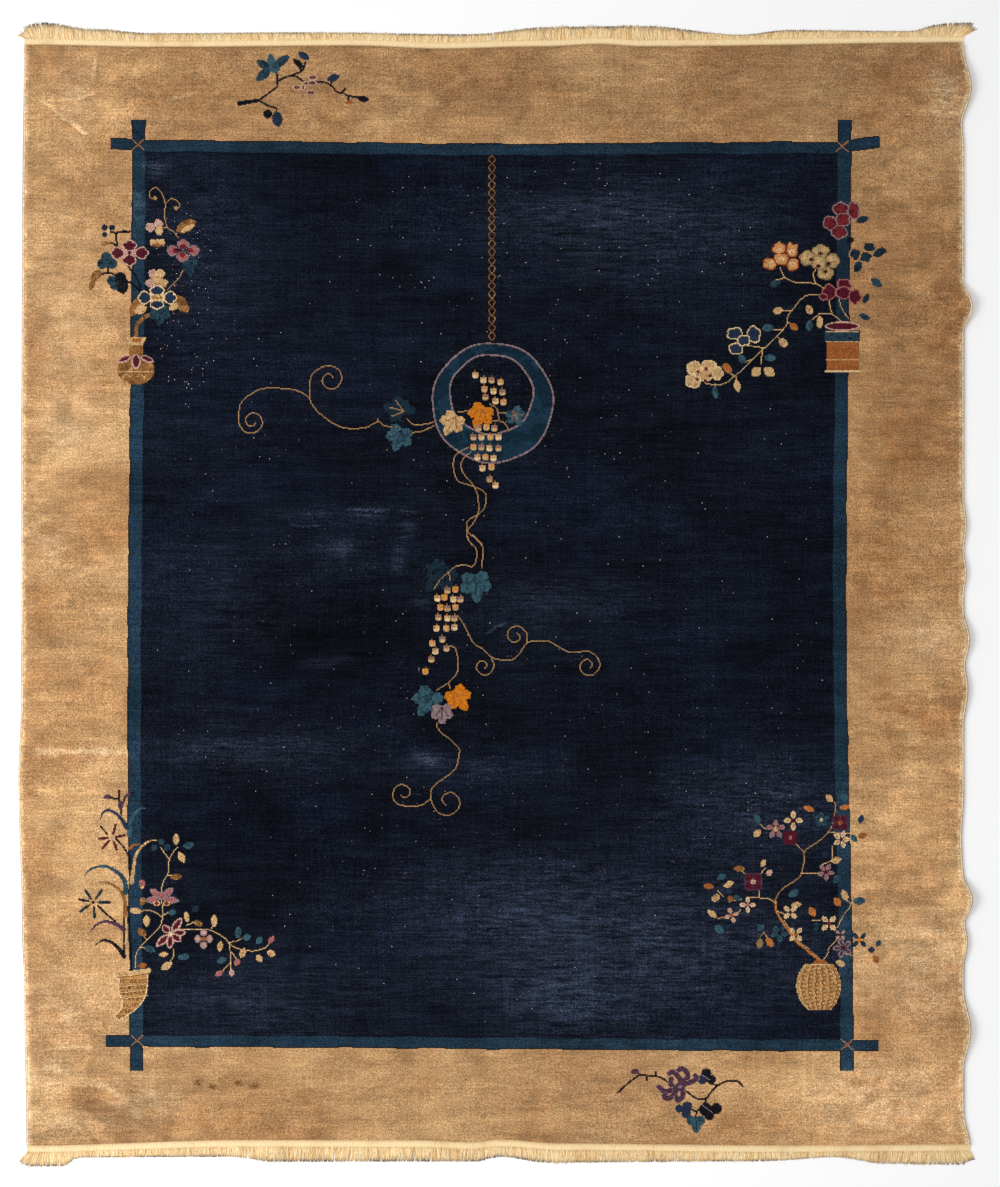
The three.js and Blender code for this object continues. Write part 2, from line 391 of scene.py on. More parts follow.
def folded(tree, coords, waver, colour, fold, light, shade):
    """Colour with one pressed fold painted in: a pale ridge of painted highlight and a painted shadow at
    its foot, both frayed by the waver.
    """
    column, row, half_length, half_width, turn, strength = fold
    x, y = chart_place(column, row)
    placed = add(tree, "ShaderNodeMapping", {
        "Vector": coords, "Location": (x * MM, y * MM, 0), "Rotation": (0, 0, math.radians(turn)),
        "Scale": (half_length * KNOT * MM, half_width * KNOT * MM, 1)}, vector_type="TEXTURE")
    parted = add(tree, "ShaderNodeSeparateXYZ", {"Vector": placed.outputs[0]})
    along = worked(tree, "ABSOLUTE", parted.outputs["X"])
    across = worked(tree, "ADD", parted.outputs["Y"], waver)
    length = stepped(tree, along, FOLD_EVEN_SHARE, 1.0, strength, 0.0)
    # Painted highlight along the ridge, then painted shadow at the foot
    for offset, tone in ((0.0, light), (FOLD_FOOT, shade)):
        away = worked(tree, "ABSOLUTE", worked(tree, "ADD", across, offset))
        share = worked(tree, "MULTIPLY", length, stepped(tree, away, 0.0, FOLD_SPREAD, 1.0, 0.0))
        colour = mixed(tree, share, colour, tone)
    return colour


def ground_wool(name, plain, pale, deep, patch, nap, fray, mottle, streaks, grain, folds=()):
    """Wool of the ground: clouded dye, stains, wear, folds painted as a lit ridge and a shadowed foot,
    painted light and shade of the nap, streaks, single tufts, and patches of tone and painted light.
    """
    material, tree, shader, coords = wool_shader(name)

    def noise(scale, low, high, to_low=0.0, to_high=1.0, **settings):
        return stepped(tree, grained(tree, coords, scale, **settings), low, high, to_low, to_high)

    tone = noise(2.6, 0.36, 0.66, detail=5.0, stretch=(1, 1.6, 1), roughness=0.62)
    colour = mixed(tree, tone, deep, plain)
    frayed = noise(20, 0.36, 0.64, 0.15, 1.85, detail=5.0, stretch=fray, shift=9.1, roughness=0.72,
                   swirl=0.4)
    cloud = noise(3.4, 0.48, 0.70, 0.0, 0.5, detail=5.0, stretch=(1, 1.5, 1), shift=7.3, roughness=0.68)
    stain = worked(tree, "MULTIPLY", stored_value(tree, "stain"), frayed)
    colour = mixed(tree, worked(tree, "ADD", cloud, stain, clamp=True), colour, patch)
    # Paler worn pile; along the sides it is partly painted light
    worn = worked(tree, "MULTIPLY", stored_value(tree, "worn"), frayed, clamp=True)
    colour = mixed(tree, worn, colour, pale)
    # Each fold paints a highlight on its ridge and a shadow at its foot
    if folds:
        waver = noise(30, 0.25, 0.75, -0.8, 0.8, detail=4.0, shift=2.7, roughness=0.65)
        for fold in folds:
            colour = folded(tree, coords, waver, colour, fold, pale, deep)
    # Painted light and shade of the nap: lighter and darker patches, strongest where the pile lies every
    # way
    if nap:
        painted_nap_shade = noise(9, 0.36, 0.64, -nap, nap, detail=5.0, stretch=(1, 1.25, 1), shift=4.7,
                        roughness=0.62, swirl=1.1)
        painted_nap_shade = worked(tree, "MULTIPLY", painted_nap_shade, stored_value(tree, "painted_nap_shade"))
        colour = scaled(tree, colour, worked(tree, "ADD", painted_nap_shade, 1.0))
    shades = (
        (mottle, 11, 6.0, (1, 1.8, 1), 3.3),
        (0.6 * streaks, 3, 5.0, (1, 16, 1), 6.6),
        (streaks, 9, 4.0, (1, 26, 1), 2.2),
        (0.45 * streaks, 5, 3.0, (44, 1, 1), 1.1),
        (0.4 * grain, 150, 3.0, (1, 1.3, 1), 5.5),
        (grain, TUFT_CELLS, 2.0, (1, 0.7, 1), 8.5),
    )
    for amount, scale, detail, stretch, shift in shades:
        shade = noise(scale, 0.28, 0.72, 1 - amount, 1 + amount, detail=detail, stretch=stretch,
                      shift=shift, roughness=0.7)
        colour = scaled(tree, colour, shade)
    # Lighter and darker patches, partly uneven tone and partly painted light and shade
    colour = scaled(tree, colour, stored_value(tree, "tone_and_painted_light"))
    tree.links.new(colour, shader.inputs["Base Color"])
    pile_bump(tree, shader, coords, GROUND_BUMP)
    return material


PLANTING = planting_tree()


# The pile sheet

# Soft patches of the ground, as (chart column, chart row, half width, half height, change) rows.
# The first table makes the wool lighter or darker, partly as uneven dye and partly as painted light and
# shade; WORN shows the paler rubbed pile, STAIN the browner wool, and the last table is where the pile
# lies every way and its painted light and shade are strongest.
PATCH_FALL = 1.2
PAINTED_NAP_SHADE_LEVEL = 0.4
TONE_AND_PAINTED_LIGHT = (
    (60, 420, 130, 330, 0.10), (60, 900, 120, 220, 0.06), (330, 80, 330, 80, -0.13),
    (55, 85, 60, 60, 0.08), (760, 80, 300, 90, -0.20), (930, 300, 110, 200, -0.18),
    (925, 870, 110, 130, 0.23), (910, 1110, 170, 90, 0.34), (470, 1100, 260, 70, -0.05),
    (40, 610, 40, 60, -0.10), (45, 350, 40, 50, -0.06), (900, 680, 60, 90, -0.07),
    (330, 640, 120, 60, -0.40), (700, 640, 150, 110, -0.12), (300, 850, 120, 70, -0.35),
    (330, 230, 130, 80, 0.05), (720, 500, 90, 70, 0.25), (848, 1050, 16, 40, 0.30),
    (835, 80, 60, 36, -0.10), (60, 80, 50, 50, 0.05), (110, 700, 8, 300, 0.10), (110, 100, 80, 60, 0.05),
    (930, 650, 60, 150, 0.09), (90, 1110, 110, 60, -0.10), (60, 760, 60, 60, 0.03),
)
WORN = (
    (60, 300, 40, 120, 0.14), (75, 95, 18, 40, 0.25), (70, 430, 40, 30, 0.25), (50, 540, 25, 40, 0.2),
    (60, 1010, 50, 40, 0.25), (345, 551, 15, 11, 0.30), (325, 546, 24, 5, 0.2), (428, 757, 13, 7, 0.75),
    (305, 514, 34, 5, 0.2), (423, 602, 10, 6, 0.3), (327, 660, 22, 7, 0.26), (660, 230, 130, 60, 0.22),
    (560, 215, 120, 25, 0.18), (200, 250, 60, 120, 0.12), (210, 600, 80, 60, 0.10),
    (560, 600, 90, 26, 0.16), (250, 750, 100, 22, 0.2), (470, 770, 80, 14, 0.16),
    (640, 955, 190, 70, 0.33), (520, 900, 160, 50, 0.2), (760, 800, 90, 50, 0.26),
    (560, 1000, 60, 30, 0.3), (250, 1000, 110, 40, 0.2), (930, 640, 40, 30, 0.3),
    (930, 960, 40, 60, 0.25), (880, 1100, 80, 40, 0.3), (560, 1090, 60, 40, 0.12),
    (945, 100, 22, 40, 0.45), (45, 1075, 30, 18, 0.4), (140, 1105, 40, 24, 0.3), (60, 1120, 40, 14, 0.3),
    (137, 205, 8, 14, 0.5), (370, 513, 22, 5, 0.34), (398, 560, 6, 15, 0.34), (407, 528, 9, 14, 0.2),
    (156, 168, 12, 8, 0.5),
)
STAIN = (
    (34, 350, 16, 34, 0.6), (46, 600, 20, 26, 0.5), (38, 700, 22, 20, 0.3), (32, 430, 14, 60, 0.3),
    (36, 1070, 9, 14, 0.6), (92, 1100, 30, 16, 0.6), (165, 1125, 16, 10, 0.4), (45, 1018, 12, 12, 0.4),
    (880, 560, 30, 160, 0.3), (900, 430, 60, 40, 0.3), (310, 70, 70, 28, 0.3), (700, 95, 120, 40, 0.25),
    (880, 95, 40, 40, 0.35), (900, 720, 50, 30, 0.35), (70, 480, 40, 20, 0.2), (285, 112, 14, 8, 0.4),
    (560, 1105, 60, 26, 0.25), (300, 1100, 60, 30, 0.25), (930, 300, 60, 180, 0.35),
    (930, 640, 60, 150, 0.25), (850, 1111, 30, 8, 0.5), (898, 1116, 10, 9, 0.5),
    (936, 1105, 16, 20, 0.35), (955, 1070, 9, 10, 0.5),
)
PAINTED_NAP_SHADE = (
    (75, 110, 90, 80, 0.4), (80, 1110, 150, 80, 0.6), (900, 1100, 160, 70, 0.1), (60, 520, 60, 320, 0.35),
    (915, 200, 80, 200, 0.45), (900, 900, 80, 160, 0.4), (480, 85, 300, 60, 0.2),
)

# Pressed folds, painted as light along the ridge and shadow at the foot, as (chart column, chart row, half
# length, half width, turn, strength) rows
FOLDS = (
    (94.4, 68, 17, 3.0, 83, 0.55), (85.7, 96.5, 13, 2.4, 14, 0.55), (78, 128, 16, 2.8, -31, 0.7),
    (55, 111, 24, 2.6, -40, 0.4), (183, 96.5, 19, 2.6, 20, 0.4), (84, 752, 66, 4.6, 1, 0.62),
    (104, 1087, 30, 4.0, -24, 0.45), (70, 1047, 36, 2.4, 3, 0.4),
)
# Folds of the navy field, painted the same way
FIELD_FOLDS = (
    (368, 510, 27, 2.0, -1, 0.6), (409, 512, 15, 1.8, -2, 0.5), (305, 526, 19, 1.8, -2, 0.45),
    (496, 628, 15, 2.0, 26, 0.5),
)


def patches(x, y, table):
    """Sum of soft oval patches at the given places."""
    total = np.zeros_like(x)
    for column, row, half_width, half_height, change in table:
        middle_x, middle_y = chart_place(column, row)
        away = np.hypot((x - middle_x) / (half_width * KNOT), (y - middle_y) / (half_height * KNOT))
        total = total + change * np.exp(-PATCH_FALL * away ** 2)
    return total


def bar_edges(bar, width, along, phases):
    """Both wavering edges of a bar, from its middle line."""
    middle = place_at(bar, along)
    return [middle + way * width / 2 + wobble(along, phase) for way, phase in zip((-1, 1), phases)]


def column_lines(y):
    """The sheet's upright lines at y: rim, bar ends, both edges of each side bar, bar ends, rim."""
    return np.stack([
        left_at(y), place_at(BAR_ENDS_LEFT, y),
        *bar_edges(LEFT_BAR, SIDE_BAR_WIDTH, y, (0.4, 1.9)),
        *bar_edges(RIGHT_BAR, SIDE_BAR_WIDTH, y, (3.1, 4.6)),
        place_at(BAR_ENDS_RIGHT, y), right_at(y),
    ])


def row_lines(x):
    """The sheet's level lines at x: rim, bar ends, both edges of each end bar, bar ends, rim."""
    return np.stack([
        place_at(BOTTOM_END, x), np.full_like(x, BAR_ENDS_LOW),
        *bar_edges(BOTTOM_BAR, END_BAR_WIDTH, x, (5.2, 6.7)),
        *bar_edges(TOP_BAR, END_BAR_WIDTH, x, (7.7, 9.1)),
        np.full_like(x, BAR_ENDS_HIGH), place_at(TOP_END, x),
    ])


def spans(lines):
    """Span number and share along it for each line of the sheet's grid."""
    numbers = []
    shares = []
    for k, width in enumerate(np.diff(lines)):
        steps = max(LEAST_STEPS, round(width / SHEET_STEP))
        parts = np.arange(steps) / steps
        rim = np.array(RIM_INSETS) / width
        if k == 0:
            parts = np.concatenate([rim, parts[parts > rim[-1]]])
        if k == len(lines) - 2:
            parts = np.concatenate([parts[parts < 1 - rim[-1]], 1 - rim[::-1]])
        numbers.extend([k] * len(parts))
        shares.extend(parts)
    return np.array(numbers), np.array(shares)


def along_lines(lines, numbers, shares, axis):
    """Places between neighbouring lines, picked along one axis of the grid."""
    index = np.broadcast_to(np.expand_dims(numbers, axis), lines.shape[1:])[None]
    low = np.take_along_axis(lines, index, 0)[0]
    high = np.take_along_axis(lines, index + 1, 0)[0]
    return low + (high - low) * np.expand_dims(shares, axis)


def sheet_faces(number):
    """Faces of the sheet from the numbers of its top points: top, underside and the wall round the rim."""
    corners = (number[:-1, :-1], number[:-1, 1:], number[1:, 1:], number[1:, :-1])
    quads = np.stack(corners, -1).reshape(-1, 4)
    rim = np.concatenate([number[0, :-1], number[:-1, -1], number[-1, :0:-1], number[:0:-1, 0]])
    after = np.roll(rim, -1)
    walls = np.stack([rim + number.size, after + number.size, after, rim], -1)
    return np.concatenate([quads, quads[:, ::-1] + number.size, walls])


def sheet_zones(column_numbers, row_numbers):
    """Wool of each top face: 0 for the tan border, 1 for the navy field, 2 for the blue-green bars."""
    column, row = np.meshgrid(column_numbers[:-1], row_numbers[:-1])
    in_frame = np.isin(column, FRAME_SPANS) & np.isin(row, FRAME_SPANS)
    on_bar = in_frame & (np.isin(column, BAR_SPANS) | np.isin(row, BAR_SPANS))
    in_field = (column == FIELD_SPAN) & (row == FIELD_SPAN)
    return np.where(on_bar, 2, np.where(in_field, 1, 0)).ravel()


def pile_sheet(tan, navy, teal):
    """Closed sheet whose grid follows the bars, so that each wool meets the next on a clean line."""
    middle = np.zeros(1)
    column_numbers, column_shares = spans(column_lines(middle)[:, 0])
    row_numbers, row_shares = spans(row_lines(middle)[:, 0])
    shape = (len(row_numbers), len(column_numbers))
    x = np.zeros(shape)
    for _ in range(FITTING_ROUNDS):
        y = along_lines(row_lines(x), row_numbers, row_shares, 1)
        x = along_lines(column_lines(y), column_numbers, column_shares, 0)
    top = np.stack([x, y, surface_at(x, y)], -1).reshape(-1, 3)
    under = np.stack([x, y, lift_at(x, y)], -1).reshape(-1, 3)
    faces = sheet_faces(np.arange(x.size).reshape(shape))
    sheet = mesh_object("pile_sheet", np.concatenate([top, under]), faces.tolist(), smooth=True)
    for material in (tan, navy, teal):
        sheet.data.materials.append(material)
    zones = sheet_zones(column_numbers, row_numbers)
    rim_zones = np.zeros(len(faces) - 2 * len(zones), int)
    sheet.data.polygons.foreach_set("material_index", np.concatenate([zones, zones, rim_zones]))
    # Paler pile along both sides, more on the right: partly wear, partly painted light that brightens the
    # shaded groove beside the side cords
    side_wear_and_light = sum(wear * np.exp(-(inset / SIDE_WEAR_AND_LIGHT_REACH) ** 2)
                 for wear, inset in ((LEFT_WEAR_AND_LIGHT, x - left_at(y)), (RIGHT_WEAR_AND_LIGHT, right_at(y) - x)))
    for label, table, level in (
            ("tone_and_painted_light", TONE_AND_PAINTED_LIGHT, 1.0), ("worn", WORN, side_wear_and_light), ("stain", STAIN, 0.0),
            ("painted_nap_shade", PAINTED_NAP_SHADE, PAINTED_NAP_SHADE_LEVEL)):
        store(sheet, label, "FLOAT", np.tile((level + patches(x, y, table)).ravel(), 2))
    plan_map(sheet)
    return sheet


# The knotted pattern

# Dyed wools, as 0 to 255 colours
WOOLS = {
    "ink": (20, 22, 30), "blue": (38, 52, 74), "deep": (28, 47, 60), "teal": (42, 68, 80),
    "sea": (58, 90, 102), "jade": (29, 54, 72), "pine": (21, 42, 57), "plum": (84, 26, 40),
    "wine": (118, 40, 46), "rose": (166, 100, 98), "blush": (194, 154, 138), "violet": (80, 56, 74),
    "mauve": (142, 118, 120), "white": (226, 216, 200), "straw": (224, 192, 146), "cream": (204, 167, 118),
    "peach": (206, 146, 90), "olive": (150, 122, 84), "tan": (175, 133, 89), "gold": (184, 138, 84),
    "ochre": (144, 98, 54), "honey": (168, 106, 50), "rust": (158, 94, 48), "amber": (202, 118, 28),
    "stain": (112, 74, 44), "umber": (140, 100, 64), "dusk": (150, 114, 100), "brick": (142, 66, 38),
    "khaki": (174, 148, 106), "copper": (190, 116, 58), "saffron": (206, 142, 66),
}
WOOL_NUMBERS = {name: number for number, name in enumerate(WOOLS)}
BARE = -1

# Widths of lines in knots; a line thinner than THIN_LINE runs knot by knot
ONE_KNOT = 1.3
TWIG = 1.9
THIN_LINE = 1.8
LINE_STEP = 0.6

# How much knots and the rows they are tied in differ in shade, and the lightest and darkest
KNOT_SHADE = 0.2
ROW_SHADE = 0.1
ROW_CELL = 60
ROW_SQUEEZE = 9
SHADE_LIMITS = (0.5, 1.6)

# Points to a turn of a tendril's curl, and the share of its reach that is left at its end
CURL_POINTS = 9
CURL_END = 0.25

# Ovals of a petal, as (size, reach, turn) rows in shares of the petal, and the width of its rim in knots
PETAL_OVALS = ((0.64, 0.26, -1.25), (0.64, 0.26, 0.0), (0.64, 0.26, 1.25), (0.96, 0.0, 0.0))
PETAL_RIM = 2.5
LEAST_OVAL = 1.6

# Petals of a small flower, as (reach, long, wide) shares of its size, and its heart
BLOOM_EDGE = (0.31, 0.42, 0.28)
BLOOM_FILL = (0.28, 0.30, 0.14)
BLOOM_HEART = 0.22

# A solid flower: reach and size of its petals and size of its heart, in shares
ROSETTE_REACH = 0.2
ROSETTE_PETAL = 0.56
ROSETTE_HEART = 0.28

# Lobes of a vine leaf, as (turn, reach, long, wide) rows in shares of its size, and the turns of its ribs
VINE_LOBES = ((0, 0.24, 0.60, 0.36), (68, 0.26, 0.46, 0.38), (-68, 0.26, 0.46, 0.38),
              (126, 0.25, 0.42, 0.36), (-126, 0.25, 0.42, 0.36))
VINE_RIBS = (0, 58, -58)
LOBE_WAVER = 0.08

# Wool of a berry's foot, by the wool of its top
BERRY_FEET = {"cream": "straw", "peach": "cream", "dusk": "cream", "saffron": "peach"}

# Uneven dye, as (clouds of wool, on wool, above) rows, and the size of the clouds in knots
AGED_WOOLS = (("deep", "teal", 0.35), ("teal", "sea", 0.25), ("ink", "deep", 0.5), ("stain", "ochre", 0.5),
              ("gold", "ochre", 0.5), ("tan", "cream", 0.55), ("plum", "wine", 0.4))
AGED_CLOUD = 3.4


def smooth_line(points):
    """Points close together along a soft curve through the given ones."""
    given = np.array(points, float)
    padded = np.vstack([2 * given[0] - given[1], given, 2 * given[-1] - given[-2]])
    runs = []
    for before, start, end, after in zip(padded, padded[1:], padded[2:], padded[3:]):
        count = max(2, int(np.hypot(*(end - start)[:2]) / LINE_STEP))
        t = (np.arange(count) / count)[:, None]
        bend = 2 * before - 5 * start + 4 * end - after
        twist = 3 * start - before - 3 * end + after
        runs.append(start + 0.5 * ((end - before) * t + bend * t ** 2 + twist * t ** 3))
    return np.vstack(runs + [given[-1:]])


def polar(column, row, reach, angle):
    """Point of the chart at that reach and angle in degrees from another."""
    a = np.radians(angle)
    return column + reach * np.cos(a), row - reach * np.sin(a)


def curl(column, row, reach, start, turns):
    """Points of a tendril that winds inwards from its start angle; turns below 0 go clockwise."""
    count = math.ceil(CURL_POINTS * abs(turns))
    reaches = reach * np.linspace(1, CURL_END, count)
    angles = start + 360 * turns * np.linspace(0, 1, count)
    return zip(*polar(column, row, reaches, angles))


def single_file(line):
    """Whole squares along a line, each meeting the next by a side or a corner."""
    squares = []
    for square in np.round(line).astype(int).tolist():
        if len(squares) > 1 and max(abs(a - b) for a, b in zip(square, squares[-2])) <= 1:
            squares.pop()
        if not squares or square != squares[-1]:
            squares.append(square)
    return squares


class Chart:
    """Part of the squared chart, one knot to a square, coloured by simple shapes."""

    def __init__(self, left, top, right, bottom):
        self.columns = np.arange(left, right)
        self.rows = np.arange(top, bottom)
        self.wool = np.full((len(self.rows), len(self.columns)), BARE)

    def near(self, column, row, reach, turn=0.0):
        """The knots round a point, and how far along and across a turned axis they lie."""
        across = slice(*np.searchsorted(self.columns, (column - reach, column + reach)))
        down = slice(*np.searchsorted(self.rows, (row - reach, row + reach)))
        right, up = np.meshgrid(self.columns[across] - column, row - self.rows[down])
        c, s = math.cos(math.radians(turn)), math.sin(math.radians(turn))
        return self.wool[down, across], right * c + up * s, up * c - right * s

    def oval(self, wool, column, row, wide, tall=None, turn=0.0, waver=0.0):
        """Oval with a slightly wavering edge; without a wool it is left bare, so that the ground shows."""
        tall = tall or wide
        knots, along, over = self.near(column, row, max(wide, tall), turn)
        edge = 1 + waver * np.sin(7 * np.arctan2(over, along) + 0.6)
        knots[np.hypot(2 * along / wide, 2 * over / tall) <= edge] = WOOL_NUMBERS[wool] if wool else BARE

    def block(self, wool, left, top, right, bottom):
        """Straight-sided patch."""
        across = slice(*np.searchsorted(self.columns, (left, right)))
        down = slice(*np.searchsorted(self.rows, (top, bottom)))
        self.wool[down, across] = WOOL_NUMBERS[wool]

    def leaf(self, wool, column, row, long, wide, turn, rib=None):
        """Pointed leaf along a turned axis, with a rib of another wool."""
        knots, along, over = self.near(column, row, long, turn)
        share = np.maximum(1 - (2 * along / long) ** 2, 0)
        knots[(share > 0) & (np.abs(over) <= wide / 2 * share ** 0.8)] = WOOL_NUMBERS[wool]
        if rib:
            on_rib = (np.abs(over) < 0.7) & (np.abs(along + 0.1 * long) < 0.34 * long)
            knots[on_rib] = WOOL_NUMBERS[rib]

    def leaves(self, *rows):
        """Leaves, as (wool, column, row, long, wide, turn) rows."""
        for row in rows:
            self.leaf(*row)

    def stem(self, wool, thick, *points):
        """Line through the points; thick is one width, or the widths at its start and end."""
        start, end = thick if isinstance(thick, tuple) else (thick, thick)
        line = smooth_line(points)
        if max(start, end) < THIN_LINE:
            line = single_file(line)
        for (column, row), width in zip(line, np.linspace(start, end, len(line))):
            if width < THIN_LINE:
                column, row = round(column), round(row)
            self.oval(wool, column, row, width)

    def stems(self, wool, thick, *lines):
        """Lines of one wool, each given by its points."""
        for line in lines:
            self.stem(wool, thick, *line)

    def fleck(self, wool, column, row, on):
        """Short dash, only where the other wool is."""
        knots, along, over = self.near(column, row, 3)
        inside = (np.abs(along) <= 1) & (np.abs(over) <= 1)
        knots[inside & (knots == WOOL_NUMBERS[on])] = WOOL_NUMBERS[wool]

    def mottle(self, wool, on, cell, seed, above=0.0):
        """Soft clouds of one wool over another."""
        column, row = np.meshgrid(self.columns, self.rows)
        cloud = soft_noise(column, row, cell, seed) + 0.5 * soft_noise(column, row, cell / 3, seed + 1)
        self.wool[(self.wool == WOOL_NUMBERS[on]) & (cloud > above)] = WOOL_NUMBERS[wool]

    def age(self, seed):
        """Uneven dye of the blue-green leaves, the browns and the reds."""
        for step, (wool, on, above) in enumerate(AGED_WOOLS):
            self.mottle(wool, on, AGED_CLOUD, seed + 2 * step, above)
        return self

    def under(self, others):
        """The chart without the knots that the other charts tie."""
        for other in others:
            down, across = np.nonzero(other.wool != BARE)
            rows = other.rows[down] - self.rows[0]
            columns = other.columns[across] - self.columns[0]
            inside = (rows >= 0) & (rows < len(self.rows)) & (columns >= 0) & (columns < len(self.columns))
            self.wool[rows[inside], columns[inside]] = BARE
        return self

    def sprinkle(self, wool, column, row, wide, tall, count, random):
        """Single knots strewn over an oval."""
        for _ in range(count):
            reach, angle = math.sqrt(random.random()), random.uniform(0, 2 * math.pi)
            left = round(column + reach * wide / 2 * math.cos(angle))
            top = round(row + reach * tall / 2 * math.sin(angle))
            self.block(wool, left, top, left + 1, top + 1)

    def petals(self, fill, edge, *rows):
        """Outlined petals, lobed away from the flower's middle, as (column, row, wide, tall) rows."""
        middle_column, middle_row = np.mean([row[:2] for row in rows], axis=0)
        for column, row, wide, tall in rows:
            out = math.atan2(middle_row - row, column - middle_column)
            for wool, cut in ((edge, 0.0), (fill, PETAL_RIM)):
                for share, reach, turn in PETAL_OVALS:
                    self.oval(wool, column + reach * wide * math.cos(out + turn),
                              row - reach * tall * math.sin(out + turn),
                              max(share * wide - cut, LEAST_OVAL), max(share * tall - cut, LEAST_OVAL))

    def bloom(self, fill, edge, heart, column, row, size, count, turn):
        """Small flower of separate pointed petals round a heart."""
        for angle in turn + 360 * np.arange(count) / count:
            for wool, (reach, long, wide) in ((edge, BLOOM_EDGE), (fill, BLOOM_FILL)):
                self.leaf(wool, *polar(column, row, reach * size, angle), long * size, wide * size, angle)
        self.oval(heart, column, row, BLOOM_HEART * size)

    def rosette(self, fill, edge, heart, column, row, size):
        """Solid flower of four broad petals that meet."""
        reach = ROSETTE_REACH * size
        petal = ROSETTE_PETAL * size
        self.petals(fill, edge, *((column + a * reach, row + b * reach, petal, petal)
                                  for a, b in ((-1, -1), (1, -1), (-1, 1), (1, 1))))
        self.oval(heart, column, row, ROSETTE_HEART * size)

    def vine_leaf(self, wool, rib, column, row, size, turn):
        """Broad leaf of five rounded lobes with a pointed tip and ribs, its tip in the turned direction."""
        for angle, reach, long, wide in VINE_LOBES:
            self.oval(wool, *polar(column, row, size * reach, turn + angle), size * long, size * wide,
                      turn + angle, LOBE_WAVER)
        self.oval(wool, column, row, 0.54 * size)
        self.leaf(wool, *polar(column, row, 0.38 * size, turn), 0.46 * size, 0.3 * size, turn)
        foot = polar(column, row, 0.2 * size, turn + 180)
        for angle in VINE_RIBS:
            self.stem(rib, ONE_KNOT, foot, polar(column, row, 0.32 * size, turn + angle))

    def grapes(self, *rows):
        """Blunt berries on short stalks, with a paler wool below, as (wool, column, row) rows."""
        for wool, column, row in rows:
            foot = BERRY_FEET[wool]
            self.block("honey", column - 0.5, row - 5, column + 0.5, row - 3)
            self.block(wool, column - 3, row - 3, column + 3, row)
            self.block(foot, column - 3, row, column + 3, row + 2)
            self.block(foot, column - 2, row + 2, column + 2, row + 3)

    def knots(self, name, finish, seed, size=KNOT):
        """The coloured knots as tufts that stand a little above the ground pile."""
        down, across = np.nonzero(self.wool != BARE)
        x, y = chart_place(self.columns[across].astype(float), self.rows[down].astype(float))
        count = len(x)
        random = np.random.default_rng(seed)
        rows = soft_noise(x, y * ROW_SQUEEZE, ROW_CELL, seed + 3)
        shade = 1 + KNOT_SHADE * random.standard_normal(count) + ROW_SHADE * rows
        colours = np.array([linear(*tone) for tone in WOOLS.values()])[self.wool[down, across]]
        colours[:, :3] *= np.clip(shade, *SHADE_LIMITS)[:, None]
        places = np.stack([x, y, surface_at(x, y) - KNOT_SINK], 1)
        sizes = np.tile((KNOT_SPREAD * size, KNOT_SPREAD * size, KNOT_SINK + KNOT_RISE), (count, 1))
        made = plant(name, places, np.zeros((count, 3)), sizes, TUFT, finish, colours,
                     size_spread=(KNOT_SIZE_SPREAD * size, KNOT_SIZE_SPREAD * size, KNOT_RISE_SPREAD),
                     seed=seed)
        plan_map(made)
        return made


def tuft_piece():
    """One clipped knot, a square bunch of wool that narrows to its tip, one millimetre in size."""
    corners = ((-0.5, -0.5), (0.5, -0.5), (0.5, 0.5), (-0.5, 0.5))
    points = [(x * share, y * share, z) for z, share in ((0, 1), (1, KNOT_TIP_SHARE)) for x, y in corners]
    sides = [(k, (k + 1) % 4, 4 + (k + 1) % 4, 4 + k) for k in range(4)]
    return mesh_object("tuft", points, sides + [(4, 5, 6, 7)], smooth=True)


def dyed_wool():
    """Wool of the pattern, coloured knot by knot."""
    material, tree, shader, coords = wool_shader("dyed wool")
    colour = add(tree, "ShaderNodeAttribute", {}, attribute_name="wool").outputs["Color"]
    tuft = grained(tree, coords, TUFT_CELLS, detail=2.0, shift=3.5, roughness=0.7)
    colour = scaled(tree, colour, stepped(tree, tuft, 0.28, 0.72, 0.86, 1.14))
    tree.links.new(colour, shader.inputs["Base Color"])
    pile_bump(tree, shader, coords, PATTERN_BUMP)
    return material


# Sprays at the four corners of the field, each in its vessel

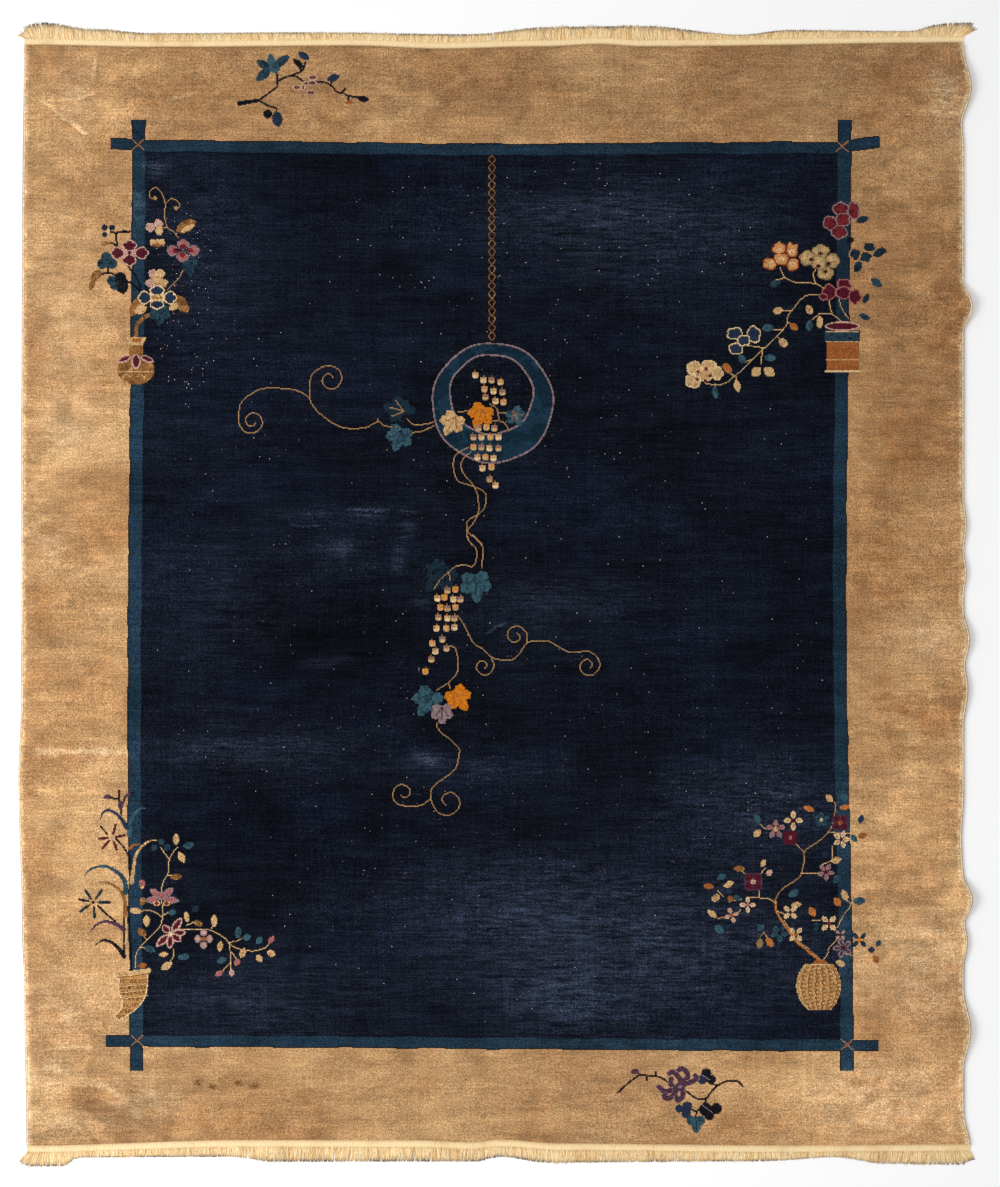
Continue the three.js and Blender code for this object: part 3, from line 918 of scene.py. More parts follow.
def top_left_spray():
    """Flowers and curling tendrils in a round vase."""
    chart = Chart(86, 182, 206, 390)
    chart.stems(
        "tan", ONE_KNOT,
        ((179, 238), (174, 232), (168, 228), (165, 217), (165.5, 204), (162.5, 194), (157, 188.5),
         (151.5, 190), (149.5, 195), (151.5, 199), (155.5, 199.5)),
        ((165.5, 205), (169.5, 200), (174.5, 199.5), (179, 203), (179.5, 207), (176.5, 209.5)),
        ((162, 228), (168, 228)), ((184, 268), (180, 278), (172.5, 285), (167.5, 290)),
    )
    chart.oval("tan", 155.5, 198.5, 4.5, 3.5)
    chart.oval("tan", 176.5, 208.5, 4.5, 3.5)
    chart.stems(
        "ink", 2.0, ((111, 232), (116, 234.5), (117.3, 246)), ((116, 234.5), (119.5, 232.5), (130, 232)),
        ((111.5, 243), (117, 246)), ((108, 267), (108.5, 273)), ((100, 275.5), (108.5, 273), (117, 276)),
        ((128, 266), (135, 275), (140, 285), (141, 292)), ((125, 280), (134, 285), (140, 291)),
    )
    chart.leaves(
        ("ink", 125, 232, 9, 3.2, 0), ("ochre", 105.5, 244, 12, 4, 5),
        ("ochre", 186.5, 226.5, 22, 12, 27), ("cream", 188, 228.5, 15, 5, 27),
        ("ochre", 96.5, 275.5, 13, 8, 40), ("ochre", 92.7, 284, 15, 5.4, 70),
        ("ink", 122.3, 286, 17, 13, -80),
    )
    chart.oval("ink", 120.5, 278.5, 12.5, 12)
    chart.leaf("teal", 114.5, 285.5, 11, 9, -60)
    for column, row, size in ((105, 228, 6.0), (112.3, 228, 6.0), (105, 235, 5.4)):
        chart.oval("deep", column, row, size)
    chart.oval("straw", 108.5, 231.5, 3.4)
    for column, row, size in (
            (106.7, 258, 11), (102.5, 264.3, 10), (112.3, 263.8, 10.5), (113, 281.3, 10.5)):
        chart.oval("teal", column, row, size)
    chart.vine_leaf("teal", "deep", 191, 266, 19, -90)
    chart.petals("blush", "blush", (151, 227.5, 9, 8.5), (158.5, 224.5, 9, 8.5))
    chart.oval("cream", 159.5, 231, 7.5, 9)
    for column in (153, 157.7, 162.4):
        chart.oval("cream", column, 243, 5.8, 7.4)
    chart.oval("ochre", 157.7, 245.6, 11, 3.4)
    chart.petals(
        "rose", "mauve", (173.5, 251, 11.5, 10), (183.5, 245.5, 11.5, 10.5), (193.5, 250.7, 11.5, 10),
        (183, 256.5, 11.5, 10.5),
    )
    for column, row in ((176.5, 251), (183.5, 247), (190.5, 250.7), (183, 255)):
        chart.oval("wine", column, row, 6.4, 5)
    chart.stems("blue", ONE_KNOT, ((179.5, 248), (187.5, 254)), ((187.5, 248), (179.5, 254)))
    chart.oval("blush", 130, 253.3, 17, 11)
    chart.petals(
        "plum", "blush", (130, 246.5, 13, 11.5), (118.5, 253.5, 13, 11.5), (141.5, 253.3, 13.5, 11.5),
        (129.8, 260, 13, 11.5),
    )
    chart.stems("blush", ONE_KNOT, ((125.5, 250), (134.5, 256.5)), ((134.5, 250), (125.5, 256.5)))
    chart.oval("plum", 130, 253.3, 3.4)
    chart.petals("blush", "blush", (153.5, 274.5, 8.5, 9), (151, 283, 9, 8.5))
    chart.petals("cream", "cream", (160.5, 274.5, 8.5, 9), (163, 283, 9, 8.5), (157, 280, 9, 9))
    chart.leaves(
        ("ochre", 136.5, 307, 22, 11, 58), ("cream", 141.5, 310, 13, 8, 25),
        ("ochre", 181.5, 304, 22, 12, -50), ("cream", 174, 307, 11, 7, 30),
    )
    chart.vine_leaf("teal", "deep", 160, 313, 22, -88)
    chart.oval("straw", 157.5, 298, 21, 11)
    chart.petals(
        "blue", "straw", (157.5, 291.7, 13.5, 11), (145.5, 298, 13, 12.5), (170, 298, 13, 12.5),
        (157.5, 304.3, 13, 10),
    )
    chart.oval("cream", 157.5, 298, 12, 6.5)
    for column in (154, 157.5, 161):
        chart.oval("ochre", column, 298, 2, 3)
    chart.stem("ochre", 3.8, (149, 315), (142, 320), (137, 327), (137, 341))
    chart.oval("ochre", 136.4, 370, 37, 29.5)
    chart.block("ochre", 130, 345, 143.5, 360)
    mouth_column, mouth_row = 137, 338
    for step in range(8):
        row = mouth_row + step
        flare = 9.8 - 0.5 * step
        chart.block("cream", mouth_column - flare, row, mouth_column + flare, row + 1)
        if 1 <= step <= 4:
            chart.block(
                "honey", mouth_column + 0.5 - 0.55 * flare, row, mouth_column + 0.5 * flare, row + 1,
            )
    chart.leaves(
        ("blush", 136.5, 362, 16, 10, -90), ("plum", 136.5, 361.5, 12, 6.5, -90),
        ("blush", 125, 359.5, 15, 6.5, 22), ("plum", 125, 359, 12, 3.6, 22),
        ("blush", 147.5, 359.5, 15, 6.5, -22), ("plum", 147.5, 359, 12, 3.6, -22),
    )
    chart.stem("cream", ONE_KNOT, (119, 372.5), (154, 372.5))
    chart.stems(
        "cream", ONE_KNOT, ((124, 377), (127, 374.5), (130, 377), (133, 375)),
        ((138, 377), (141, 374.5), (144, 377), (147, 375)),
    )
    return chart


def top_right_spray():
    """Branch of blossom that hangs from a banded pot."""
    chart = Chart(680, 198, 892, 404)
    chart.stems(
        "cream", ONE_KNOT, ((825, 290), (815, 284), (797, 283), (785, 278), (780, 268)),
        ((815, 284), (813, 274), (815, 270)),
        ((821, 295), (809, 295), (801, 299), (794, 308), (788, 316), (786.5, 325), (781, 332), (771, 342),
         (763, 349), (752, 360), (737, 374), (723, 384), (707, 384), (702, 380)),
        ((783, 311), (792, 311)), ((773, 330), (783, 330)), ((787, 322), (793, 326)),
        ((777, 337), (782, 342)), ((743, 345), (763, 348)), ((762, 349), (761, 364)),
        ((745, 362), (752, 360)), ((729, 373), (735, 376)), ((736, 377), (737, 383)),
        ((715, 384), (715, 390)), ((829, 301), (830, 309), (831, 314), (820, 314), (812, 320)),
        ((831, 314), (836, 317), (840, 322)), ((839, 299), (841, 308), (848, 319)),
        ((774, 281), (785, 278)),
    )
    chart.leaves(
        ("cream", 777.5, 311, 10.5, 7, 10), ("cream", 809, 310, 10.5, 7, -60),
        ("cream", 819.5, 322.5, 12.5, 6.5, 85), ("cream", 783, 343, 10.5, 8, -45),
        ("cream", 756, 372, 12.5, 9, 45), ("cream", 769, 372, 12.5, 9, -40),
        ("cream", 737, 386, 12.5, 6.5, -80), ("sea", 809, 326, 11.5, 6.5, 80),
        ("sea", 767.5, 328, 11.5, 7.5, 10), ("sea", 770, 358, 12.5, 7, 5),
        ("sea", 742, 359.5, 10.5, 7, -50), ("sea", 715, 393, 12.5, 6, -85),
        ("honey", 793.5, 327, 10.5, 6.4, -35), ("honey", 727, 368.5, 12.5, 7.4, -55),
        ("teal", 775, 284, 11.5, 7, 20), ("deep", 862, 220, 13, 7, 20), ("ink", 850, 240.5, 8, 6, 10),
        ("deep", 879, 253, 14, 8, 25), ("deep", 857.5, 267, 13, 8, 60), ("deep", 882, 251, 9, 6, -20),
        ("teal", 876, 283, 13, 7.5, -40), ("deep", 865.5, 299, 11.5, 6, 60),
        ("teal", 864, 317, 11.5, 6, -20),
    )
    chart.petals("deep", "tan", (855.5, 254.5, 13, 12), (868.5, 247.7, 13, 10.5), (865, 257, 13, 12))
    chart.petals(
        "wine", "mauve", (840.5, 210, 15.5, 14), (853, 211.3, 12, 17), (830.5, 223.3, 15, 14),
        (842, 220, 15, 14), (839, 232, 15.5, 14),
    )
    chart.petals(
        "peach", "brick", (779, 249.5, 14, 12), (791.3, 251, 12, 14), (770, 264, 14.5, 12),
        (792, 264.5, 13, 12.5), (781.5, 259, 15, 13),
    )
    chart.leaves(
        ("peach", 778.7, 245.5, 8, 4, 90), ("peach", 790, 246, 8, 4, 100),
        ("peach", 795, 247.5, 7, 4, 60),
    )
    chart.petals(
        "khaki", "olive", (807.5, 258.5, 15, 14), (820.5, 252, 16, 13), (831.5, 261, 14, 14),
        (825, 273, 15.5, 13), (819, 262.5, 15, 14),
    )
    chart.mottle("cream", "khaki", 4, 41, 0.1)
    for column, row in ((811, 260), (818, 266.5), (828, 264), (820, 254), (825, 272)):
        chart.oval("stain", column, row, 5.4, 4.2)
        chart.oval("ink", column, row, 3.4, 2.4)
    for column, row in ((781.5, 259.5), (771, 264), (791.5, 252), (779, 251), (792, 264)):
        chart.oval("straw", column, row, 6, 4.4)
        chart.oval("peach", column, row + 0.5, 2.4)
    chart.petals(
        "plum", "rose", (829.5, 292.5, 14.5, 15), (843.5, 285.5, 14, 12), (842.5, 293, 16, 12),
        (854, 297, 13, 14.5), (823.5, 297, 9, 7),
    )
    chart.petals(
        "blue", "straw", (735, 334, 15.5, 12), (753, 335, 14, 16), (736, 348.5, 14, 12),
        (743, 340.5, 13, 11),
    )
    chart.petals(
        "cream", "straw", (694.5, 368.5, 15, 13), (708.5, 367.5, 15.5, 13), (693.5, 381, 15.5, 13),
        (716, 373.5, 13, 12.5), (705, 374.5, 14, 13),
    )
    for column, row in ((698, 372), (710, 376), (697, 379.5), (706, 369), (705, 381)):
        chart.oval("wine", column, row, 3)
    chart.block("rust", 826.5, 342, 858.6, 371)
    chart.block("teal", 825, 331, 859.4, 342)
    for row in (331.5, 342, 360.5):
        chart.stem("cream", ONE_KNOT, (826.5, row), (858, row))
    chart.stem("straw", 2.0, (825.5, 371.5), (859, 371.5))
    chart.oval("blush", 842, 326.5, 35, 9.6)
    chart.oval("plum", 842, 326.5, 31, 6.4)
    return chart


def bottom_left_spray():
    """Long leaves, star flowers and a trailing branch in a horn-shaped basket."""
    chart = Chart(76, 784, 282, 1026)
    chart.stems(
        "ink", TWIG, ((131.5, 972), (131, 943), (128.5, 920), (127, 905)), ((124.5, 956), (124.5, 917)),
        ((116, 838), (124, 847), (129.5, 856)), ((101, 826), (108, 834)),
        ((98, 905), (106, 913), (116, 921)), ((122, 815), (121, 807)), ((119, 799), (108, 797)),
        ((135, 792), (127, 795), (123.5, 803)), ((119.3, 790), (119.8, 801)),
        ((130.5, 883), (131.5, 868), (129.5, 856)),
    )
    chart.stem("cream", 2.6, (126.3, 893), (126.3, 943))
    for wool, thick, points in (
            ("ink", (4.6, 1.4), ((124.5, 956), (119, 948), (111, 941.5), (103, 940), (96, 944))),
            ("violet", (4.6, 1.4),
             ((124, 929), (117, 924), (109, 921.5), (101, 922), (94, 927), (91, 931))),
            ("ochre", (4.8, 1.4),
             ((126, 915), (125, 900), (122, 892), (115.5, 886), (107.5, 882.5), (100, 882))),
            ("sea", (5.4, 1.4),
             ((126, 892), (125, 881), (119, 873), (109, 867), (101, 866), (91, 869), (85, 875))),
            ("cream", (4.2, 1.4),
             ((132, 882), (134, 868), (136, 856), (141.5, 847), (149.5, 841), (157, 840))),
            ("rust", (3.0, 1.4), ((130, 848), (134, 845), (140, 844))),
            ("sea", (5.2, 1.4), ((129.5, 834), (131, 822), (135, 814), (140.5, 808.5), (146, 807.5))),
            ("blue", (4.6, 1.4),
             ((127, 827), (122, 819), (115.5, 812.5), (108, 810), (103, 813), (101, 819)))):
        chart.stem(wool, thick, *points)
    chart.leaves(
        ("violet", 121, 805, 10, 5, 85), ("violet", 107.5, 796.5, 7.5, 4.5, 10),
        ("violet", 128, 795, 7.5, 3.5, 25),
    )
    for middle, wool, heart, tips in (
            ((112.5, 837.5), "plum", "blush",
             ((116, 825), (125, 835), (117, 849), (103, 848), (99, 838.5))),
            ((93.6, 902), "deep", "ink",
             ((86, 890), (102, 890), (110, 902), (95, 917), (81, 911), (80, 899)))):
        for tip in tips:
            spoke = np.subtract(tip, middle)
            chart.stem(wool, (1.9, 2.6), middle + 0.3 * spoke, middle + 0.62 * spoke)
            chart.stem(wool, (3.0, 2.2), middle + 0.72 * spoke, tip)
        chart.oval(heart, *middle, 3.2)
    chart.stems(
        "cream", ONE_KNOT,
        ((136, 967), (136.5, 955), (140, 947.5), (148, 938.5), (158, 929.5), (162.5, 920), (163.5, 913),
         (162.5, 903), (162, 890), (164, 881), (168.5, 872.5), (169.5, 860), (172.5, 853), (177.5, 847)),
        ((169, 858), (163, 850), (161, 847)), ((163, 917), (154.5, 911.5), (146, 910), (141, 911)),
        ((182, 929.5), (197, 929), (208, 929), (218, 933), (226, 938.5), (230, 943.5), (241, 949),
         (255, 950.5), (265, 947.5), (269, 943.5)), ((230, 943), (231, 959), (231, 970)),
        ((230, 963), (223.5, 969.5)), ((232.5, 952), (237.5, 960)), ((212, 928), (214.5, 922)),
        ((230, 942), (239, 940), (242.5, 937.5)), ((187, 925), (194, 922)),
        ((174, 949), (174, 955.5), (169, 964)), ((147, 939), (142, 934)), ((164, 915), (169, 912)),
        ((169, 875), (177, 876)), ((140, 947), (150, 948)),
    )
    chart.leaves(
        ("cream", 187, 916.5, 10, 5.5, 100), ("cream", 182, 857, 12.5, 6.5, -60),
        ("cream", 176.5, 839, 11, 6, 90), ("ochre", 176.5, 876.5, 12.5, 5.5, 5),
        ("cream", 164, 954, 9, 5, 10), ("cream", 167, 965.5, 12.5, 7.5, 35),
        ("sea", 184, 956.5, 12, 6.5, 10), ("cream", 136, 910.5, 12, 6.5, -10),
        ("cream", 147, 920.5, 12, 6.5, 90), ("ochre", 143, 901, 9, 5.5, 70),
        ("sea", 172.5, 912, 9, 6, 15), ("ochre", 198.5, 923, 10, 5.5, -30),
        ("cream", 214.5, 920.5, 12, 6, 90), ("cream", 220.5, 946, 11, 5.5, 85),
        ("sea", 238.5, 932, 12, 6.5, 85), ("sea", 247, 937, 9, 6.5, 20), ("cream", 243, 952.5, 11, 6, 70),
        ("sea", 259.5, 940, 8.5, 6, 60), ("sea", 222, 960, 10, 6.5, 20), ("rose", 271.5, 939.5, 9, 5, 55),
        ("cream", 271.5, 953, 8.5, 6.5, -30), ("cream", 259.5, 958, 9, 6, -55),
        ("rose", 219.5, 973, 9, 5.5, 30), ("blush", 232, 972.5, 7.5, 5.5, 80),
        ("rose", 237.5, 962, 7.5, 5.5, 60), ("sea", 189, 845, 12, 6.5, 5), ("rust", 143, 965, 10, 5, 5),
        ("deep", 196, 908.5, 8.5, 6.5, 40), ("ochre", 142.5, 932, 11, 7, -40),
        ("sea", 150, 948.5, 12, 6.5, -25),
    )
    for column, row in ((162, 841.5), (155, 847.5), (167.5, 847)):
        chart.oval("teal", column, row, 6.6)
    chart.oval("rose", 142.5, 883, 6.5, 7.5)
    chart.oval("cream", 142.5, 886.5, 5, 3.5)
    for wool, share in (("mauve", 1.0), ("rose", 0.66)):
        for column, row, long, wide, turn in (
                (153, 899.5, 16, 7, 8), (171.5, 899.5, 16, 7, -8), (156, 893, 14, 7, -42),
                (168.5, 892, 14, 7, 42), (162.3, 895.5, 9, 9, 0)):
            chart.leaf(wool, column, row, share * long, share * wide, turn)
    chart.petals("wine", "cream", (157.5, 903, 7, 5), (166.5, 903, 7, 5))
    heart_column, heart_row = 171, 933
    for column, row in ((182, 918), (186, 932), (157, 945.5), (170, 948), (181, 941), (163, 925.5)):
        right, down = column - heart_column, row - heart_row
        long = math.hypot(right, down)
        turn = math.degrees(math.atan2(-down, right))
        middle = (heart_column + 0.56 * right, heart_row + 0.56 * down)
        chart.leaf("blush", *middle, 0.95 * long, 8.0, turn)
        chart.leaf("plum", *middle, 0.72 * long, 4.6, turn)
    chart.oval("straw", heart_column, heart_row + 0.5, 4.6)
    chart.petals(
        "blush", "mauve", (198.5, 938.5, 7, 7), (209.5, 938.5, 7, 7), (204, 932.5, 7, 7),
        (204, 944.5, 7, 7),
    )
    chart.oval("rust", 204, 938.5, 4.4)
    basket = ((134, 974, 31), (133.5, 988, 30), (134, 998, 25), (131, 1006, 19), (125, 1012, 13),
              (119, 1016, 8))
    for wool, cut in (("straw", 0.0), ("gold", 2.6)):
        for column, row, width in smooth_line(basket):
            chart.oval(wool, column, row, width - cut, 8 - cut, 12)
    for k, row in enumerate(range(980, 1018, 6)):
        for column in range(112 + 2 * (k % 2), 152, 4):
            chart.fleck("ochre", column, row, "gold")
            chart.fleck("ochre", column, row + 1, "gold")
    for row in (985, 991, 997):
        chart.stem("cream", ONE_KNOT, (120, row + 1), (134, row), (148, row - 2))
    chart.stem("cream", 4.6, (118.5, 974), (134, 972.5), (149.5, 970))
    chart.stem("ochre", ONE_KNOT, (118, 977), (134, 975.5), (149.5, 973))
    return chart


def bottom_right_spray():
    """Bent branch of small flowers in a round, ribbed basket."""
    chart = Chart(700, 790, 886, 1016)
    chart.stem(
        "copper", (2.2, 1.9), (820, 960), (811, 953.5), (805, 948), (795.5, 941), (789.5, 932),
        (782, 921), (776, 910.5), (775, 900),
    )
    chart.stem(
        "gold", ONE_KNOT, (775, 900), (778, 893), (783, 888), (789.5, 884), (798.5, 877.5), (801.5, 871),
        (804, 860), (804, 851.5), (812.5, 845), (821.5, 838.5), (828.5, 831), (832.5, 823),
        (834.5, 812.5), (834.5, 802),
    )
    chart.stem("cream", ONE_KNOT, (821, 960), (813, 953), (806, 947), (797, 940), (791, 931), (784, 920))
    chart.stems(
        "cream", ONE_KNOT, ((804, 851.5), (795.5, 843)), ((802, 873), (819, 873.5)),
        ((775, 903), (769.5, 899), (760, 897.5), (746.5, 897.5)), ((759, 890), (759, 897)),
        ((823, 959.5), (828, 951.5), (829, 947), (835.5, 940.5), (838.5, 936)),
        ((837, 927), (843, 915), (850, 906), (851.5, 901)), ((832.5, 860), (831.5, 846)),
        ((821.5, 864.5), (832.5, 860)), ((828.5, 832), (849, 833), (860, 829.5)),
        ((812.5, 919.5), (820, 919.5)), ((717.5, 890.5), (723, 896.5)),
        ((718, 918), (734.5, 915), (740.5, 909)), ((760, 824.5), (766.5, 829)), ((765, 868), (760, 874)),
        ((739, 868), (747, 875)), ((777, 911), (788, 915)), ((784, 924), (780, 930)),
        ((763, 932), (768, 938)), ((760, 936), (764, 932)), ((844, 953), (852, 955)),
        ((843, 897), (850, 903)), ((733, 900), (741, 899)),
    )
    chart.leaves(
        ("cream", 829, 798, 10, 6, -50), ("copper", 808.5, 808.5, 11.5, 5.5, -20),
        ("copper", 844.5, 807, 10.5, 5.5, 10), ("sea", 844, 797, 9, 6.5, 30),
        ("sea", 757, 818.5, 10.5, 6.5, 110), ("cream", 757, 833, 9, 6.5, 40),
        ("blue", 860.5, 819, 9, 6, 70), ("rust", 862, 835.5, 9, 6, 20), ("sea", 853.5, 838, 9, 6, -60),
        ("cream", 836, 860, 10.5, 6.5, 15), ("sea", 837, 878.5, 10, 7.5, 40),
        ("deep", 825, 854, 8, 6.5, 30), ("cream", 763, 863, 8, 5.5, 60),
        ("ochre", 739, 868.5, 11.5, 6, 0), ("blush", 769, 872.5, 7.5, 6, 50),
        ("sea", 721.5, 876.5, 10, 6.5, 20), ("cream", 728.5, 884, 10.5, 6, 25),
        ("rust", 708.5, 886, 10.5, 6, -10), ("cream", 715.5, 897.5, 10, 6.5, 35),
        ("blue", 728.5, 891, 7.5, 5.5, 0), ("rust", 730, 898.5, 6.5, 5.5, 45),
        ("sea", 737, 897.5, 8, 5.5, -30), ("cream", 712, 913.5, 11.5, 5.5, -35),
        ("sea", 719, 929, 11.5, 7.5, -50), ("deep", 728.5, 925, 9, 6.5, 20),
        ("sea", 793.5, 893, 11.5, 7.5, 30), ("cream", 796, 904.5, 10.5, 5.5, 10),
        ("teal", 816, 926, 9, 5.5, 80), ("copper", 812, 911.5, 10.5, 7, -60),
        ("copper", 837, 901.5, 10, 7, -50), ("cream", 844.5, 895, 11.5, 6.5, -65),
        ("sea", 859, 900.5, 13, 7.5, 5), ("olive", 759.5, 943, 10.5, 7, 80),
        ("copper", 769.5, 942, 11.5, 6.5, -60), ("sea", 760.5, 927.5, 8, 6, 40),
        ("cream", 840, 963, 10, 6, -20), ("blue", 871, 949.5, 6.5, 5.5, 0),
        ("teal", 878, 943, 7.5, 5.5, 50), ("rust", 875.5, 959, 9, 6, -50),
    )
    for fill, edge, heart, column, row, size, count, turn in (
            ("rose", "mauve", "cream", 775.5, 829, 19, 5, 90),
            ("cream", "straw", "plum", 793, 820.3, 19, 4, 0),
            ("teal", "sea", "straw", 821, 819.5, 15, 5, 90),
            ("cream", "straw", "plum", 841, 839, 17, 5, 0),
            ("rose", "mauve", "plum", 825.5, 871.5, 17, 5, 60),
            ("cream", "mauve", "plum", 840, 934.5, 13, 4, 45),
            ("blush", "straw", "rose", 747.5, 904.5, 16, 4, 0),
            ("cream", "blush", "rust", 731.5, 915, 15, 4, 20),
            ("cream", "straw", "plum", 790, 912, 16, 4, 45),
            ("cream", "straw", "rust", 795.5, 934, 17, 4, 45),
            ("cream", "straw", "wine", 828.5, 923, 18.5, 4, 45),
            ("teal", "sea", "ink", 779, 932.5, 17.5, 5, 60),
            ("violet", "mauve", "wine", 842.5, 947.5, 20, 5, 110),
            ("teal", "blue", "amber", 859, 939.5, 17.5, 4, 45)):
        chart.bloom(fill, edge, heart, column, row, size, count, turn)
    for fill, edge, heart, column, row, size in (
            ("plum", "plum", "rose", 790, 837.5, 14), ("plum", "violet", "rust", 840, 822.5, 16),
            ("plum", "violet", "blush", 753, 881.5, 18)):
        chart.rosette(fill, edge, heart, column, row, size)
    basket_column, basket_row = 818.3, 986
    for row in range(964, 1010):
        share = (row - basket_row) / 23.5
        half = 22.4 * math.sqrt(1 - 0.72 * share * share) - 1.6 * max(share, 0)
        chart.block("cream", basket_column - half, row, basket_column + half, row + 1)
        chart.block("gold", basket_column + 1.3 - half, row, basket_column - 1.3 + half, row + 1)
        for rib in (-0.84, -0.52, -0.2, 0.12, 0.44, 0.76):
            middle = basket_column + half * rib + 0.4 * math.sin(row * 0.9 + 5 * rib)
            chart.block("cream", middle - 0.8, row, middle + 0.8, row + 1)
            chart.block("ochre", middle + 0.8, row, middle + 1.8, row + 1)
            if (row + round(3 * rib)) % 4 < 2:
                chart.block("honey", middle + 1.8, row, middle + 4.8, row + 1)
            else:
                chart.block("cream", middle + 3, row, middle + 4.4, row + 1)
    chart.oval("rust", 820, 962, 14, 5)
    chart.stem("straw", ONE_KNOT, (811, 964.5), (829, 964.5))
    return chart


# Chain, ring and the hanging vine

def ring_and_grapes():
    """Chain, ring and upper grapes, with the leaves and stems round them."""
    chart = Chart(372, 154, 560, 548)
    link_column, link_count, link_pitch = 492, 22, 8.4
    link = ((0, -4), (2.6, -1.6), (2.4, 1.6), (0, 4), (-2.4, 1.6), (-2.6, -1.6), (0, -4))
    for k in range(link_count):
        row = 160 + link_pitch * k
        chart.stem("ochre", ONE_KNOT, *((link_column + right, row + down) for right, down in link))
    for wool, cut in (("mauve", 0), ("jade", 3.2)):
        chart.oval(wool, 492.7, 403, 122 - cut, 121 - cut, waver=0.011)
    chart.mottle("pine", "jade", 9, 5)
    for wool, cut in (("mauve", 0), (None, 3.2)):
        chart.oval(wool, 491.5, 394.5, 85 - cut, 81 - cut, waver=0.014)
    chart.stems(
        "tan", ONE_KNOT, ((434, 422), (424, 424.5), (411.5, 423.5), (399, 410)),
        ((434, 426), (421, 431.5), (409, 433)), ((458, 412.5), (464, 411.5), (472, 411.5)),
        ((490.5, 404.5), (497, 408.5), (498.5, 412.5), (509, 412.5)),
        ((498, 412.5), (498, 420.5), (489, 422), (488, 427)), ((498, 420.5), (505, 423.5), (509, 431)),
        ((469, 447), (457, 454), (453.5, 462), (454.5, 473), (458.5, 481), (473, 486.5), (484, 491.5),
         (486, 500), (484, 509), (477, 515), (468.5, 520), (467, 528), (469, 533), (476, 538.5),
         (481, 545)),
        ((471, 451.5), (464, 458), (461, 466), (464, 474.5), (472, 483.5), (477, 493), (478.5, 502.5),
         (478, 514.5), (472, 525), (467, 532), (468.5, 540), (472, 545)),
    )
    chart.vine_leaf("deep", "tan", 399, 410, 28, 165)
    chart.oval("deep", 410.5, 410.5, 10, 9)
    chart.vine_leaf("sea", "deep", 400, 435.5, 28, -110)
    chart.vine_leaf("cream", "ochre", 453, 421.5, 26, -120)
    chart.vine_leaf("amber", "rust", 481.5, 413.5, 27, -115)
    chart.vine_leaf("sea", "ochre", 515, 415, 21, -60)
    chart.grapes(
        ("cream", 475.5, 375.5), ("cream", 484, 380.5), ("dusk", 492, 380.5), ("peach", 501, 382.5),
        ("peach", 484.5, 390), ("cream", 494, 391.5), ("dusk", 502.5, 392.5), ("dusk", 485.5, 398),
        ("cream", 495.5, 401.5), ("peach", 504, 403), ("dusk", 478.5, 428.5), ("peach", 487, 427.5),
        ("dusk", 495, 429), ("dusk", 473.5, 437.5), ("cream", 482, 437.5), ("peach", 490.5, 437.5),
        ("cream", 498.5, 438), ("peach", 474, 447.5), ("dusk", 482, 448), ("cream", 490, 448.5),
        ("dusk", 498.5, 448.5), ("cream", 478, 458), ("peach", 486, 457.5), ("cream", 494, 459),
        ("cream", 482.5, 468.5), ("peach", 491.5, 468), ("dusk", 490, 479.5), ("cream", 495.5, 486),
    )
    return chart


def left_tendril():
    """Tendril that curls away to the left of the ring."""
    chart = Chart(234, 362, 398, 440)
    chart.stems(
        "tan", ONE_KNOT,
        ((396, 427), (384.5, 426), (378.5, 422), (364, 428), (342.5, 427.5), (324.5, 417.5), (313, 405.5),
         (308.5, 397.5), (299, 391.5), (287.5, 389), (266, 388.5), (254.5, 392), (241.5, 403),
         *curl(252.5, 421.5, 14, 160, 1.5)),
        ((309.5, 397.5), (310, 383), (313, 374), *curl(330, 379.5, 15, 136, -1.3)),
        ((378.5, 422), (378.5, 419)),
    )
    return chart


